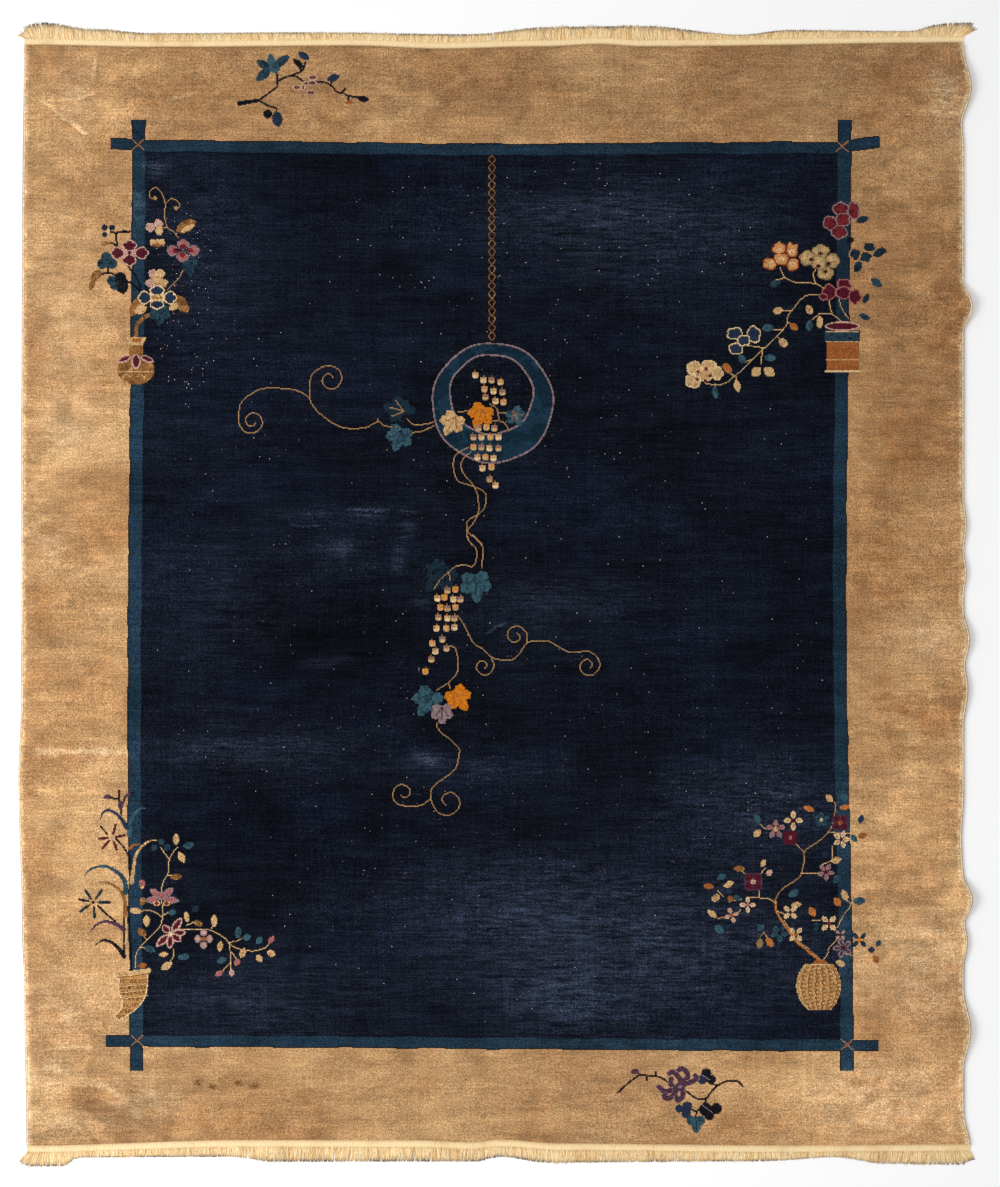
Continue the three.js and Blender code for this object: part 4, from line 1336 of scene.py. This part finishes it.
def lower_vine():
    """Vine below the ring, with its grapes, its leaves and a tendril to the right."""
    chart = Chart(412, 528, 604, 724)
    chart.vine_leaf("deep", "ink", 441, 574.5, 36, -130)
    chart.stems(
        "tan", ONE_KNOT,
        ((467, 535), (469, 541), (476, 549), (476.5, 559), (473, 566.5), (464.5, 565), (456, 566.5),
         (448.5, 572), (440.5, 580), (434.5, 589)), ((473, 535), (481.5, 544), (483, 553), (481.5, 568)),
        ((448.5, 572), (450.5, 580)),
        ((458, 616), (464, 625), (469, 635), (474.5, 643.5), (484, 649.5), (491, 656.5), (497, 659),
         (511, 660), (518, 655.5), (523.5, 647), (527, 643), (534.5, 641), (548.5, 641), (558.5, 646.5),
         (568.5, 651.5), (578, 652), (586.5, 651), *curl(588, 665.5, 13, 65, -1.3)),
        ((491, 656.5), *curl(483.5, 666, 10.5, 5, -1.15)),
        ((527, 643), *curl(515.5, 636, 11.4, 15, 1.15)),
        ((447.5, 646.5), (454, 647), (457.5, 655.5), (458, 669.5), (454.5, 676.5), (447.5, 683),
         (437, 689.5)), ((449, 682.5), (450, 688)),
    )
    chart.vine_leaf("sea", "deep", 475.5, 583, 33, -85)
    chart.grapes(
        ("dusk", 447.5, 591), ("saffron", 456, 590), ("cream", 437.5, 598.5), ("saffron", 445, 598),
        ("cream", 453.5, 599.5), ("dusk", 461, 599.5), ("saffron", 440.5, 607.5), ("dusk", 447.5, 608.5),
        ("peach", 455.5, 608), ("dusk", 438.5, 618), ("cream", 447.5, 618.5), ("dusk", 455, 618.5),
        ("cream", 437, 628.5), ("peach", 446.5, 629), ("cream", 455, 628), ("dusk", 442.5, 640),
        ("peach", 432.5, 643.5), ("dusk", 447, 648.5), ("cream", 436, 652), ("dusk", 431.5, 659.5),
        ("saffron", 426, 671.5),
    )
    chart.vine_leaf("sea", "deep", 428.5, 699, 32, -120)
    chart.vine_leaf("amber", "rust", 457.5, 696.5, 28, -55)
    chart.vine_leaf("mauve", "ink", 442, 712, 23, -88)
    return chart


def lower_tendrils():
    """Pair of curls that ends the vine."""
    chart = Chart(386, 720, 464, 816)
    chart.stems(
        "tan", ONE_KNOT,
        ((437, 723), (437.5, 727.5), (441.5, 732.5), (449, 738), (456, 744.5), (459.5, 750.5),
         (458, 760.5), (456, 768), (449.5, 774), (441.5, 779.5), (433, 787), (431, 793.5),
         *curl(448.5, 801, 16.5, 185, 1.15)),
        ((431, 797.5), (424, 803.5), (415.5, 806), *curl(403.5, 793, 13, -80, -1.15)),
    )
    return chart


# Sprigs on the tan border, lashings where the bars cross, stains and flecks

def top_sprig():
    """Leafy twig on the upper border."""
    chart = Chart(234, 48, 374, 132)
    chart.stem("ink", (4.6, 3.4), (239.5, 104), (249, 102.5), (259, 101))
    chart.stems(
        "ink", TWIG, ((259, 101), (268, 94.5), (277.5, 87), (278, 82), (288, 77), (296, 77), (303, 81.5)),
        ((278, 82), (277.5, 77), (276, 71)), ((291.5, 76), (301, 72), (304, 68), (306, 62)),
        ((317, 82), (325, 83), (332.5, 87), (337, 92.5), (344, 94), (348.5, 96.5), (361, 98)),
        ((259, 101), (269, 106.5), (276.5, 109), (276.5, 114)), ((342, 93), (346, 89)),
        ((331, 85), (333, 80)), ((348.5, 97), (349, 101)), ((302, 72), (299, 66)),
    )
    chart.leaves(
        ("teal", 265, 66, 19, 8, -30), ("sea", 272, 62.5, 17, 8, -75), ("teal", 281.5, 62, 20, 8.5, 35),
        ("teal", 264, 75, 19, 9, 38), ("sea", 275, 69, 12, 9, 0), ("ink", 298.5, 64, 13, 5.5, -40),
        ("blue", 304, 56.5, 13, 7, -35), ("blue", 333.5, 78.5, 13, 7, 20),
        ("ink", 363.5, 99.5, 12, 6, -5), ("blue", 277.5, 119.5, 16, 11, -80),
        ("rust", 349, 103, 7, 3.4, 0),
    )
    chart.oval("ink", 268, 114.5, 9.5, 9)
    for column, row, wide, tall in (
            (313, 78, 10, 5), (312.5, 83.5, 10, 5.4), (306.5, 84, 6, 5.6), (297.5, 88, 9, 5.6),
            (303.3, 88, 5.4, 5.6), (311, 93, 9.6, 5)):
        chart.oval("blush", column, row, wide, tall)
        chart.oval("plum", column, row, wide - 3, tall - 2.2)
        chart.fleck("stain", round(column), round(row), "plum")
    return chart


def bottom_sprig():
    """Twig with a violet flower on the lower border."""
    chart = Chart(612, 1060, 750, 1138)
    chart.stems(
        "ink", TWIG,
        ((617, 1092.5), (629.5, 1081.5), (640, 1074.5), (646.5, 1075), (656, 1075.5), (663, 1078.5),
         (668.5, 1082.5)), ((640, 1074.5), (637, 1071.5)), ((646.5, 1075), (646.5, 1080)),
        ((656, 1075), (655.5, 1071)),
        ((686, 1090.5), (696.5, 1098), (706, 1097.5), (709.5, 1093), (717.5, 1085), (725.5, 1081),
         (735, 1080.5), (739.5, 1082.5), (742.5, 1086)), ((717.5, 1085), (710.5, 1083)),
        ((706, 1097.5), (705.5, 1103)), ((705, 1102), (700, 1108), (696.5, 1110.5), (692.5, 1109.5)),
        ((696.5, 1110.5), (695.5, 1118)),
    )
    chart.leaf("violet", 634.5, 1071, 9, 5, 10)
    for wool, column, row, size in (
            ("ink", 706, 1073, 10), ("blue", 702, 1079, 9), ("ink", 711, 1079, 9),
            ("ink", 705.5, 1109, 13), ("ink", 716, 1108, 11), ("ink", 709, 1115, 9),
            ("blue", 679, 1108, 8), ("blue", 687, 1106, 10), ("blue", 686, 1113, 9.5),
            ("sea", 691, 1120, 9), ("sea", 700, 1120, 9), ("sea", 696, 1122, 10)):
        chart.oval(wool, column, row, size)
    chart.leaf("sea", 696, 1126, 14, 9, -88, "ink")
    chart.stems("mauve", ONE_KNOT, ((702, 1104), (712, 1112)), ((703, 1075), (709, 1079)))
    for points in (
            ((682, 1082), (677, 1075), (672.5, 1071.5), (669, 1073)),
            ((685, 1080), (687.5, 1076), (686, 1071), (681.5, 1068), (678.5, 1069.5)),
            ((685, 1083), (691, 1081.5), (696.5, 1078), (695, 1075)),
            ((673, 1087), (670.5, 1083), (671, 1078.5)),
            ((677, 1088.5), (670, 1090), (664, 1091), (660, 1087.5), (658.5, 1086.5)),
            ((675.5, 1091), (672, 1096), (666.5, 1098), (664, 1096), (665, 1094)),
            ((682.5, 1089), (682.5, 1095.5), (678, 1100), (676.5, 1097))):
        chart.stem("mauve", (5.8, 5.4), *points)
        chart.stem("plum", (4.6, 4.2), *points)
        chart.stem("violet", (3.4, 3.0), *points)
    chart.oval("violet", 680, 1086, 10, 9)
    chart.oval("mauve", 680, 1086, 4, 3)
    return chart


def beside_bars(along, lines, outer):
    """Where an edge meets the tan wool: past both crossing bars and, for an outer edge, between them."""
    low_start, low_end, high_start, high_end = lines[2:6]
    beyond = (along < low_start) | (along > high_end)
    between = (along > low_end) & (along < high_start)
    return beyond | between if outer else beyond


def bar_lines():
    """Dark line round the bars, where they meet the tan wool."""
    chart = Chart(96, 110, 896, 1082)

    def draw(x, y, kept):
        """Knots along the kept part of an edge."""
        columns = np.round(x[kept] / KNOT + CHART_MIDDLE[0])
        rows = np.round(CHART_MIDDLE[1] - y[kept] / KNOT)
        for column, row in zip(columns, rows):
            chart.oval("ink", column, row, ONE_KNOT)

    y = np.arange(BAR_ENDS_LOW, BAR_ENDS_HIGH, KNOT / 2)
    x = np.arange(BAR_ENDS_LEFT[0][1], BAR_ENDS_RIGHT[0][1], KNOT / 2)
    for k, way, outer in ((2, 1, True), (3, -1, False), (4, 1, False), (5, -1, True)):
        upright = column_lines(y)[k] + way * BAR_LINE_INSET
        draw(upright, y, beside_bars(y, row_lines(upright), outer))
        level = row_lines(x)[k] + way * BAR_LINE_INSET
        on_bar = (x > place_at(BAR_ENDS_LEFT, level)) & (x < place_at(BAR_ENDS_RIGHT, level))
        draw(x, level, on_bar & beside_bars(x, column_lines(level), outer))
    return chart


def lashings():
    """Crossed ties where the bars of the frame meet."""
    charts = []
    for column, row in ((138.5, 145), (842, 146.5), (137.5, 1040), (847, 1044)):
        chart = Chart(int(column) - 10, int(row) - 10, int(column) + 11, int(row) + 11)
        for slope in (-5.0, 5.0):
            chart.stem("tan", ONE_KNOT, (column - 5.6, row - slope), (column + 5.6, row + slope))
        chart.stem("rust", 1.8, (column - 2, row + 1.8), (column + 3.2, row - 2.8))
        charts.append(chart)
    return charts


def flecks():
    """Pale foundation knots that show through the worn field, and brown drips on the border."""
    random = np.random.default_rng(77)
    chart = Chart(146, 152, 842, 1036)
    for wool, column, row, wide, tall, count in (
            ("white", 492, 594, 680, 860, 210), ("mauve", 492, 594, 680, 860, 320),
            ("white", 185, 300, 64, 220, 60), ("mauve", 185, 300, 60, 200, 70),
            ("white", 560, 230, 500, 140, 60), ("mauve", 540, 800, 560, 300, 110)):
        chart.sprinkle(wool, column, row, wide, tall, count, random)
    drips = Chart(186, 1070, 268, 1100)
    for column, row, size in ((198, 1083, 8), (213, 1086, 7), (238, 1082, 7), (255, 1085, 7.5)):
        drips.sprinkle("umber", column, row, 1.5 * size, size, 30, random)
        drips.sprinkle("stain", column, row, 0.8 * size, 0.7 * size, 14, random)
    return chart, drips


# Woven ends, fringe and overcast sides

# Lengths are in millimetres, STITCH_REACH is in degrees and STITCH_SLANT in radians
EDGE_PARTING = 0.3
WEB_WIDTH = 22.0
WEB_THICKNESS = 1.6
WEB_UNEVENNESS = 0.3
WEB_CELL = 70.0
WEB_STEP = 12.0
RIB_PITCH = 3.8
RIB_SHARE = 0.94
RIB_HEIGHT = 0.8
RIB_SINK = 0.3
RIB_INSET = 0.6
RIB_MARGIN = 2.0
CORD_RADIUS = 2.9
CORE_SHARE = 0.8
CORE_SIDES = 8
STITCH_PITCH = 3.4
STITCH_SLANT = 0.16
STITCH_REACH = (-35, 215)
STITCH_SECTIONS = 6
STITCH_SIDES = 4
STITCHES_PER_SECTION = 3
STRANDS_PER_LAYER = 2200
STRAND_THICKNESS = 1.7
STRAND_SIDES = 4
STRAND_ROOT = 4.0
STRAND_JITTER = 0.8
STRAND_HEIGHTS = (0.1, 0.7)
STRAND_SIZES = (0.75, 1.2)
LEAST_REACH = 5.0
FLARE_REACH = 75.0

# Clumps, waves and drift of the strands along an end
CLUMP_CELL = 16.0
CLUMP_DRIFT = 4.0
CLUMP_APART = 300.0
WAVE_CELL = 45.0
DRIFT_CELL = 90.0
DRIFT = 5.0

# The two layers of fringe, as (lower, upper) values
LAYER_SHARE = (0.96, 0.84)
LAYER_WAVES = (0.0, 0.16)
LAYER_RAGGEDNESS = (0.025, 0.1)
LAYER_CLUMPING = (0.03, 0.08)
LAYER_DRIFT = (3.0, 4.6)
LAYER_LIFT = (0.0, 0.9)
# The lower layer is darker, as painted shade under the upper one, and takes most of the painted shadow at
# the tips
LAYER_BRIGHTNESS = (0.84, 1.0)
LAYER_TIP_SHADOW = (1.0, 0.3)

# Colours of the strands and stitches with the share of each, how much painted shadow darkens the strands'
# tips and the stitches' outsides, and the dirt on the cotton
STRAND_COLOURS = ((255, 232, 186), (248, 214, 158), (222, 178, 114))
STRAND_SHARES = (0.55, 0.3, 0.15)
# The stitches are lighter than their cream, as painted light against the shade at the foot of the pile
STITCH_COLOURS = ((255, 234, 200), (252, 222, 182), (240, 204, 158))
STITCH_SHARES = (0.5, 0.35, 0.15)
STRAND_SHADE = 0.06
STITCH_SHADE = 0.05
STRAND_SHADOW_CELL = 55.0
STITCH_SHADOW_CELL = 120.0
LEFT_PAINTED_SHADOW = 0.7
RIGHT_PAINTED_SHADOW = 0.85
PAINTED_SHADOW_COLOUR = linear(84, 56, 33)
SOIL = linear(206, 160, 100)
FIBRE_BUMP = 0.35
FIBRE_BUMP_DEPTH = 0.0006

# How far the fringe tips reach, as (at, place) rows, and how far they flare at the two corners
TOP_TIPS = ((-1230, 1454), (-1200, 1484), (-1180, 1488), (-1055, 1470), (-900, 1460), (-490, 1462),
            (-73, 1457), (130, 1476), (380, 1479), (629, 1455), (754, 1468), (1066, 1465), (1180, 1488),
            (1197, 1488), (1218, 1460))
BOTTOM_TIPS = ((-1228, -1474), (-1205, -1488), (-1140, -1488), (-1090, -1464), (-690, -1463),
               (-590, -1476), (-57, -1475), (5, -1463), (130, -1478), (681, -1474), (879, -1463),
               (1004, -1481), (1191, -1484), (1225, -1470))
TOP_FLARES = (17.0, 34.0)
BOTTOM_FLARES = (20.0, 8.0)


def tube(sections, sides):
    """Points and faces of a closed tube through sections of (middle, side vector, up vector)."""
    angles = [2 * math.pi * k / sides for k in range(sides)]
    points = [np.array(middle) + math.cos(a) * np.array(across) + math.sin(a) * np.array(up)
              for middle, across, up in sections for a in angles]
    faces = []
    for start in range(0, sides * (len(sections) - 1), sides):
        for k in range(sides):
            after = (k + 1) % sides
            faces.append((start + k, start + after, start + sides + after, start + sides + k))
    last = range(len(points) - sides, len(points))
    return points, faces + [tuple(range(sides))[::-1], tuple(last)]


def strand_piece():
    """One fringe strand along Y that sinks and thins towards its tip, one millimetre in size."""
    rows = ((0.0, 0.50, 0.50), (0.35, 0.56, 0.50), (0.72, 0.46, 0.46), (1.0, 0.30, 0.34))
    sections = [((0, y, z), (-half, 0, 0), (0, 0, half)) for y, z, half in rows]
    made = mesh_object("strand", *tube(sections, STRAND_SIDES), smooth=True)
    # Share along the strand, which the material uses to paint shadow at the tip
    store(made, "tip", "FLOAT", np.repeat([row[0] for row in rows], STRAND_SIDES))
    return made


def rib_piece():
    """One ridge of the woven end, half round and along Y, one millimetre in size."""
    profile = ((-0.5, 0), (-0.34, 0.7), (0, 1), (0.34, 0.7), (0.5, 0))
    points = [(x, y, z) for y in (0, 1) for x, z in profile]
    faces = [(k, k + 1, 6 + k, 5 + k) for k in range(4)]
    return mesh_object("rib", points, faces + [(4, 3, 2, 1, 0), (5, 6, 7, 8, 9)], smooth=True)


def stitch_piece():
    """One overcast stitch round a side cord of one millimetre radius, its outside towards +X."""
    sections = []
    for angle in np.radians(np.linspace(*STITCH_REACH, STITCH_SECTIONS)):
        out = np.array((math.cos(angle), 0, math.sin(angle)))
        sections.append((out, 0.3 * out, (0, 0.56, 0)))
    made = mesh_object("stitch", *tube(sections, STITCH_SIDES), smooth=True)
    # How far out each section lies, which the material uses to paint shadow on the stitch's outside
    outward = [0.62 + 0.5 * out[0] for out, _, _ in sections]
    store(made, "tip", "FLOAT", np.repeat(outward, STITCH_SIDES))
    return made


def shaded(colours, shares, count, spread, seed):
    """Colours picked from a few in the given shares, each a little lighter or darker."""
    random = np.random.default_rng(seed)
    picked = np.array([linear(*colour) for colour in colours])[random.choice(len(colours), count, p=shares)]
    picked[:, :3] *= np.clip(1 + spread * random.standard_normal(count), 0.5, 1.4)[:, None]
    return picked


def end_corners(side):
    """Both ends of a woven end, out to the outside of the side cords."""
    y = (TOP_END if side > 0 else BOTTOM_END)[0][1]
    out = EDGE_PARTING + 2 * CORD_RADIUS
    return float(left_at(y)) - out, float(right_at(y)) + out


def woven_band(name, side, pile_end, finish):
    """Flat-woven band along one end."""
    left, right = end_corners(side)
    count = int((right - left) / WEB_STEP)
    x = np.linspace(left, right, count)
    inner = place_at(pile_end, x) + side * EDGE_PARTING
    outer = inner + side * WEB_WIDTH
    height = WEB_THICKNESS + WEB_UNEVENNESS * soft_noise(x, 0 * x, WEB_CELL, 11 + side)
    rows = ((inner, 0 * x), (inner, height), (outer, height), (outer, 0 * x))
    points = np.concatenate([np.stack([x, y, z], 1) for y, z in rows])
    faces = []
    for r in range(4):
        for k in range(count - 1):
            low, high = r * count + k, (r + 1) % 4 * count + k
            faces.append((low, low + 1, high + 1, high) if side < 0 else (low, high, high + 1, low + 1))
    first = tuple(r * count for r in range(4))
    last = tuple(r * count + count - 1 for r in range(4))
    band = mesh_object(name, points, faces + [first[::side], last[::-side]])
    band.data.materials.append(finish)
    return band


def woven_ribs(name, side, pile_end, finish):
    """Ridges of the woven end, side by side along the band."""
    left, right = end_corners(side)
    at = np.arange(left + RIB_MARGIN, right - RIB_MARGIN, RIB_PITCH)
    start = place_at(pile_end, at) + side * (EDGE_PARTING + RIB_INSET)
    places = np.stack([at, start, np.full_like(at, WEB_THICKNESS - RIB_SINK)], 1)
    turns = np.tile((0, 0, 0 if side > 0 else math.pi), (len(at), 1))
    sizes = np.tile((RIB_SHARE * RIB_PITCH, WEB_WIDTH - 2 * RIB_INSET, RIB_HEIGHT), (len(at), 1))
    return plant(name, places, turns, sizes, RIB, finish, turn_spread=(0, 0, 0.02),
                 size_spread=(0.3, 0.4, 0.2), seed=21 + side)


def fringe(name, side, pile_end, tips, flares, finish, seed):
    """Loose warp strands beyond the woven end, in two layers: the lower one longer and darker, with painted
    shadow at the tips.
    """
    left, right = end_corners(side)
    random = np.random.default_rng(seed)
    count = 2 * STRANDS_PER_LAYER
    upper = np.arange(count) >= STRANDS_PER_LAYER

    def layered(values):
        return np.where(upper, values[1], values[0])

    x = np.tile(np.linspace(left + 1, right - 1, STRANDS_PER_LAYER), 2)
    x = x + random.uniform(-STRAND_JITTER, STRAND_JITTER, count)
    edge = place_at(pile_end, x) + side * (EDGE_PARTING + WEB_WIDTH)
    clump = soft_noise(x, CLUMP_APART * upper, CLUMP_CELL, seed + 1)
    share = layered(LAYER_SHARE) + layered(LAYER_WAVES) * soft_noise(x, 0 * x, WAVE_CELL, seed + 2)
    ragged = layered(LAYER_RAGGEDNESS) * random.standard_normal(count)
    reach = side * (place_at(tips, x) - edge) * (share - layered(LAYER_CLUMPING) * np.abs(clump) + ragged)
    drift = CLUMP_DRIFT * clump + DRIFT * soft_noise(x, 0 * x, DRIFT_CELL, seed + 3)
    drift = drift + layered(LAYER_DRIFT) * random.standard_normal(count)
    for flare, away in ((flares[1], right - x), (-flares[0], x - left)):
        drift = drift + flare * eased(np.clip(1 - away / FLARE_REACH, 0, 1))
    length = np.maximum(reach, LEAST_REACH) + STRAND_ROOT
    lean = np.arctan2(drift, length)
    turns = np.zeros((count, 3))
    turns[:, 2] = -lean if side > 0 else math.pi + lean
    height = random.uniform(*STRAND_HEIGHTS, count) + layered(LAYER_LIFT)
    places = np.stack([x, edge - side * STRAND_ROOT, height], 1)
    thick = STRAND_THICKNESS * random.uniform(*STRAND_SIZES, count)
    sizes = np.stack([thick, np.hypot(drift, length), thick], 1)
    colours = shaded(STRAND_COLOURS, STRAND_SHARES, count, STRAND_SHADE, seed + 4)
    # Lower layer darker, as painted shade under the upper one
    colours[:, :3] *= layered(LAYER_BRIGHTNESS)[:, None]
    # Painted shadow on the tips, patchy along the end and mostly on the lower layer
    painted_shadow = np.clip(0.6 + 0.9 * soft_noise(x, 0 * x, STRAND_SHADOW_CELL, seed + 5), 0.25, 1)
    colours[:, 3] = layered(LAYER_TIP_SHADOW) * painted_shadow
    return plant(name, places, turns, sizes, STRAND, finish, colours, seed=seed)


def overcast_side(name, side, finish, core_finish):
    """Side cord and the stitches that bind it."""
    y_low, y_high = BOTTOM_END[0][1] + 1.0, TOP_END[0][1] - 1.0
    y = np.linspace(y_low, y_high, int((y_high - y_low) / STITCH_PITCH))
    middle = right_at(y) if side > 0 else left_at(y)
    x = middle + side * (EDGE_PARTING + CORD_RADIUS)
    z = CORD_RADIUS + (ruffles_at(y, RUFFLE_LIFT) if side > 0 else 0 * y)
    places = np.stack([x, y, z], 1)
    core_radius = CORE_SHARE * CORD_RADIUS
    sections = [(place, (core_radius, 0, 0), (0, 0, core_radius))
                for place in places[::STITCHES_PER_SECTION]]
    points, faces = tube(sections, CORE_SIDES)
    core = mesh_object(name + "_core", points, [face[::-1] for face in faces], smooth=True)
    core.data.materials.append(core_finish)
    turns = np.tile((0, 0, STITCH_SLANT if side > 0 else STITCH_SLANT + math.pi), (len(y), 1))
    sizes = np.tile((CORD_RADIUS, STITCH_PITCH, CORD_RADIUS), (len(y), 1))
    colours = shaded(STITCH_COLOURS, STITCH_SHARES, len(y), STITCH_SHADE, 31 + side)
    # How much painted shadow darkens the stitches' outsides, patchy along the side and stronger on the
    # right
    painted_shadow = RIGHT_PAINTED_SHADOW if side > 0 else LEFT_PAINTED_SHADOW
    colours[:, 3] = np.clip(painted_shadow + 0.4 * soft_noise(0 * y, y, STITCH_SHADOW_CELL, 35 + side), 0, 1)
    stitches = plant(name + "_stitches", places, turns, sizes, STITCH, finish, colours,
                     turn_spread=(0.03, 0.06, 0.08), size_spread=(0.1, 0.25, 0.1), seed=41 + side)
    return core, stitches


def cotton(name, colour=None):
    """Undyed warp cotton, with dirt here and there.

    Without a colour it is coloured strand by strand, and the alpha of that colour says how much painted
    shadow darkens its tip: a strand's end and a stitch's outside.
    """
    material, tree, shader, coords = wool_shader(name)
    if colour is None:
        wool = add(tree, "ShaderNodeAttribute", {}, attribute_name="wool")
        # Painted shadow towards a strand's tip and a stitch's outside, as deep as the alpha says
        tip = stepped(tree, stored_value(tree, "tip"), 0.74, 0.96, 0.0, 0.9)
        painted_shadow = worked(tree, "MULTIPLY", tip, wool.outputs["Alpha"])
        colour = mixed(tree, painted_shadow, wool.outputs["Color"], PAINTED_SHADOW_COLOUR)
    soil = grained(tree, coords, 9, detail=5.0, shift=1.3, roughness=0.6)
    colour = mixed(tree, stepped(tree, soil, 0.5, 0.75, 0.0, 0.45), colour, SOIL)
    fibre = grained(tree, coords, 600, detail=2.0, stretch=(1, 0.2, 1), shift=2.9, roughness=0.6)
    colour = scaled(tree, colour, stepped(tree, fibre, 0.3, 0.7, 0.88, 1.1))
    tree.links.new(colour, shader.inputs["Base Color"])
    bumped(tree, shader, fibre, FIBRE_BUMP, FIBRE_BUMP_DEPTH)
    return material


# The finished pieces

TUFT = tuft_piece()
STRAND = strand_piece()
RIB = rib_piece()
STITCH = stitch_piece()

tan_wool = ground_wool(
    "tan wool", plain=linear(190, 151, 106), pale=linear(224, 191, 148), deep=linear(167, 125, 84),
    patch=linear(160, 113, 71), nap=0.24, fray=(1, 2, 1), mottle=0.18,
    streaks=0.16, grain=0.55, folds=FOLDS)
navy_wool = ground_wool(
    "navy wool", plain=linear(17, 22, 33), pale=linear(57, 66, 86), deep=linear(11, 14, 22),
    patch=linear(20, 27, 45), nap=0.0, fray=(1, 7, 1), mottle=0.26,
    streaks=0.46, grain=1.0, folds=FIELD_FOLDS)
teal_wool = ground_wool(
    "teal wool", plain=linear(32, 52, 69), pale=linear(70, 96, 112), deep=linear(23, 40, 53),
    patch=linear(29, 50, 66), nap=0.0, fray=(1, 2, 1), mottle=0.26,
    streaks=0.2, grain=0.8)
sheet = pile_sheet(tan_wool, navy_wool, teal_wool)

dyed = dyed_wool()
charts = {motif.__name__: motif() for motif in (
    top_left_spray, top_right_spray, bottom_left_spray, bottom_right_spray, ring_and_grapes,
    left_tendril, lower_vine, lower_tendrils, top_sprig, bottom_sprig)}
charts.update(zip(("lashing_1", "lashing_2", "lashing_3", "lashing_4"), lashings()))
motifs = list(charts.values())
pale_flecks, brown_drips = flecks()
charts["bar_lines"] = bar_lines().under(motifs)
charts["pale_flecks"] = pale_flecks.under(motifs)
charts["brown_drips"] = brown_drips
pattern = [
    chart.age(seed).knots("knots_" + name, dyed, seed, FLECK if name == "pale_flecks" else KNOT)
    for seed, (name, chart) in enumerate(charts.items())
]

web_cotton = cotton("web cotton", linear(248, 222, 174))
strand_cotton = cotton("strand cotton")
overcast_wool = cotton("overcast wool")
cord_wool = cotton("cord wool", linear(240, 214, 172))
top_band = woven_band("top_end_band", 1, TOP_END, web_cotton)
top_ribs = woven_ribs("top_end_ribs", 1, TOP_END, web_cotton)
bottom_band = woven_band("bottom_end_band", -1, BOTTOM_END, web_cotton)
bottom_ribs = woven_ribs("bottom_end_ribs", -1, BOTTOM_END, web_cotton)
top_strands = fringe("top_fringe", 1, TOP_END, TOP_TIPS, TOP_FLARES, strand_cotton, 51)
bottom_strands = fringe("bottom_fringe", -1, BOTTOM_END, BOTTOM_TIPS, BOTTOM_FLARES, strand_cotton, 61)
left_core, left_stitches = overcast_side("left_side", -1, overcast_wool, cord_wool)
right_core, right_stitches = overcast_side("right_side", 1, overcast_wool, cord_wool)
for piece in (TUFT, STRAND, RIB, STITCH):
    bpy.data.objects.remove(piece)


# Floor, light and camera

# Floor and sensor in millimetres, lamp and camera in metres, power in watts
FLOOR_REACH = 9000.0
FLOOR_DROP = 0.2
FLOOR_WHITE = (0.98, 0.98, 0.98, 1)
SKY_STRENGTH = 0.72
LAMP_PLACE = (-4.2, -1.2, 3.6)
LAMP_SIZE = 2.6
LAMP_POWER = 190
CAMERA_HEIGHT = 9.0
SENSOR_WIDTH = 36.0

# Height and middle of the view, on the squared chart
VIEW_ROWS = 1187
VIEW_MIDDLE = (500, 593.5)


def floor():
    """Plain pale floor."""
    ways = ((-1, -1), (1, -1), (1, 1), (-1, 1))
    corners = [(x * FLOOR_REACH, y * FLOOR_REACH, -FLOOR_DROP) for x, y in ways]
    ground = mesh_object("floor", corners, [(0, 1, 2, 3)])
    material = bpy.data.materials.new("pale floor")
    material.use_nodes = True
    shader = material.node_tree.nodes["Principled BSDF"]
    shader.inputs["Base Color"].default_value = FLOOR_WHITE
    shader.inputs["Roughness"].default_value = 0.9
    ground.data.materials.append(material)


def camera():
    """Camera straight above the rug, far enough away to see it square."""
    lens = bpy.data.cameras.new("camera")
    lens.sensor_width = SENSOR_WIDTH
    lens.lens = SENSOR_WIDTH * CAMERA_HEIGHT / (VIEW_ROWS * KNOT * MM)
    holder = bpy.data.objects.new("camera", lens)
    middle_x, middle_y = chart_place(*VIEW_MIDDLE)
    holder.location = (middle_x * MM, middle_y * MM, CAMERA_HEIGHT)
    bpy.context.collection.objects.link(holder)
    bpy.context.scene.camera = holder


def studio():
    """Even white surroundings with one broad square lamp to the left, facing the middle of the rug."""
    scene = bpy.context.scene
    scene.view_settings.view_transform = "Standard"
    scene.world = bpy.data.worlds.new("studio")
    scene.world.use_nodes = True
    surroundings = scene.world.node_tree.nodes["Background"]
    surroundings.inputs["Color"].default_value = (1, 1, 1, 1)
    surroundings.inputs["Strength"].default_value = SKY_STRENGTH
    lamp = bpy.data.lights.new("broad lamp", "AREA")
    lamp.size = LAMP_SIZE
    lamp.energy = LAMP_POWER
    holder = bpy.data.objects.new("broad lamp", lamp)
    holder.location = LAMP_PLACE
    holder.rotation_euler = (-holder.location).to_track_quat("-Z", "Y").to_euler()
    bpy.context.collection.objects.link(holder)


floor()
studio()
camera()


# Joining to the frame

top = [top_band, top_ribs, top_strands]
bottom = [bottom_band, bottom_ribs, bottom_strands]
left = [left_core, left_stitches]
right = [right_core, right_stitches]
ends = top + bottom
sides = left + right
for pieces, slot_name in (
        ([sheet] + pattern, "wool_pile"), (ends, "warp_cotton"), (sides, "overcast_wool")):
    for piece in pieces:
        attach(piece, "root")
for pieces, node in (
        ([sheet], "pile_field"), (top, "fringe_top"), (bottom, "fringe_bottom"), (left, "selvedge_left"),
        (right, "selvedge_right")):
    for piece in pieces:
        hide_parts(node)
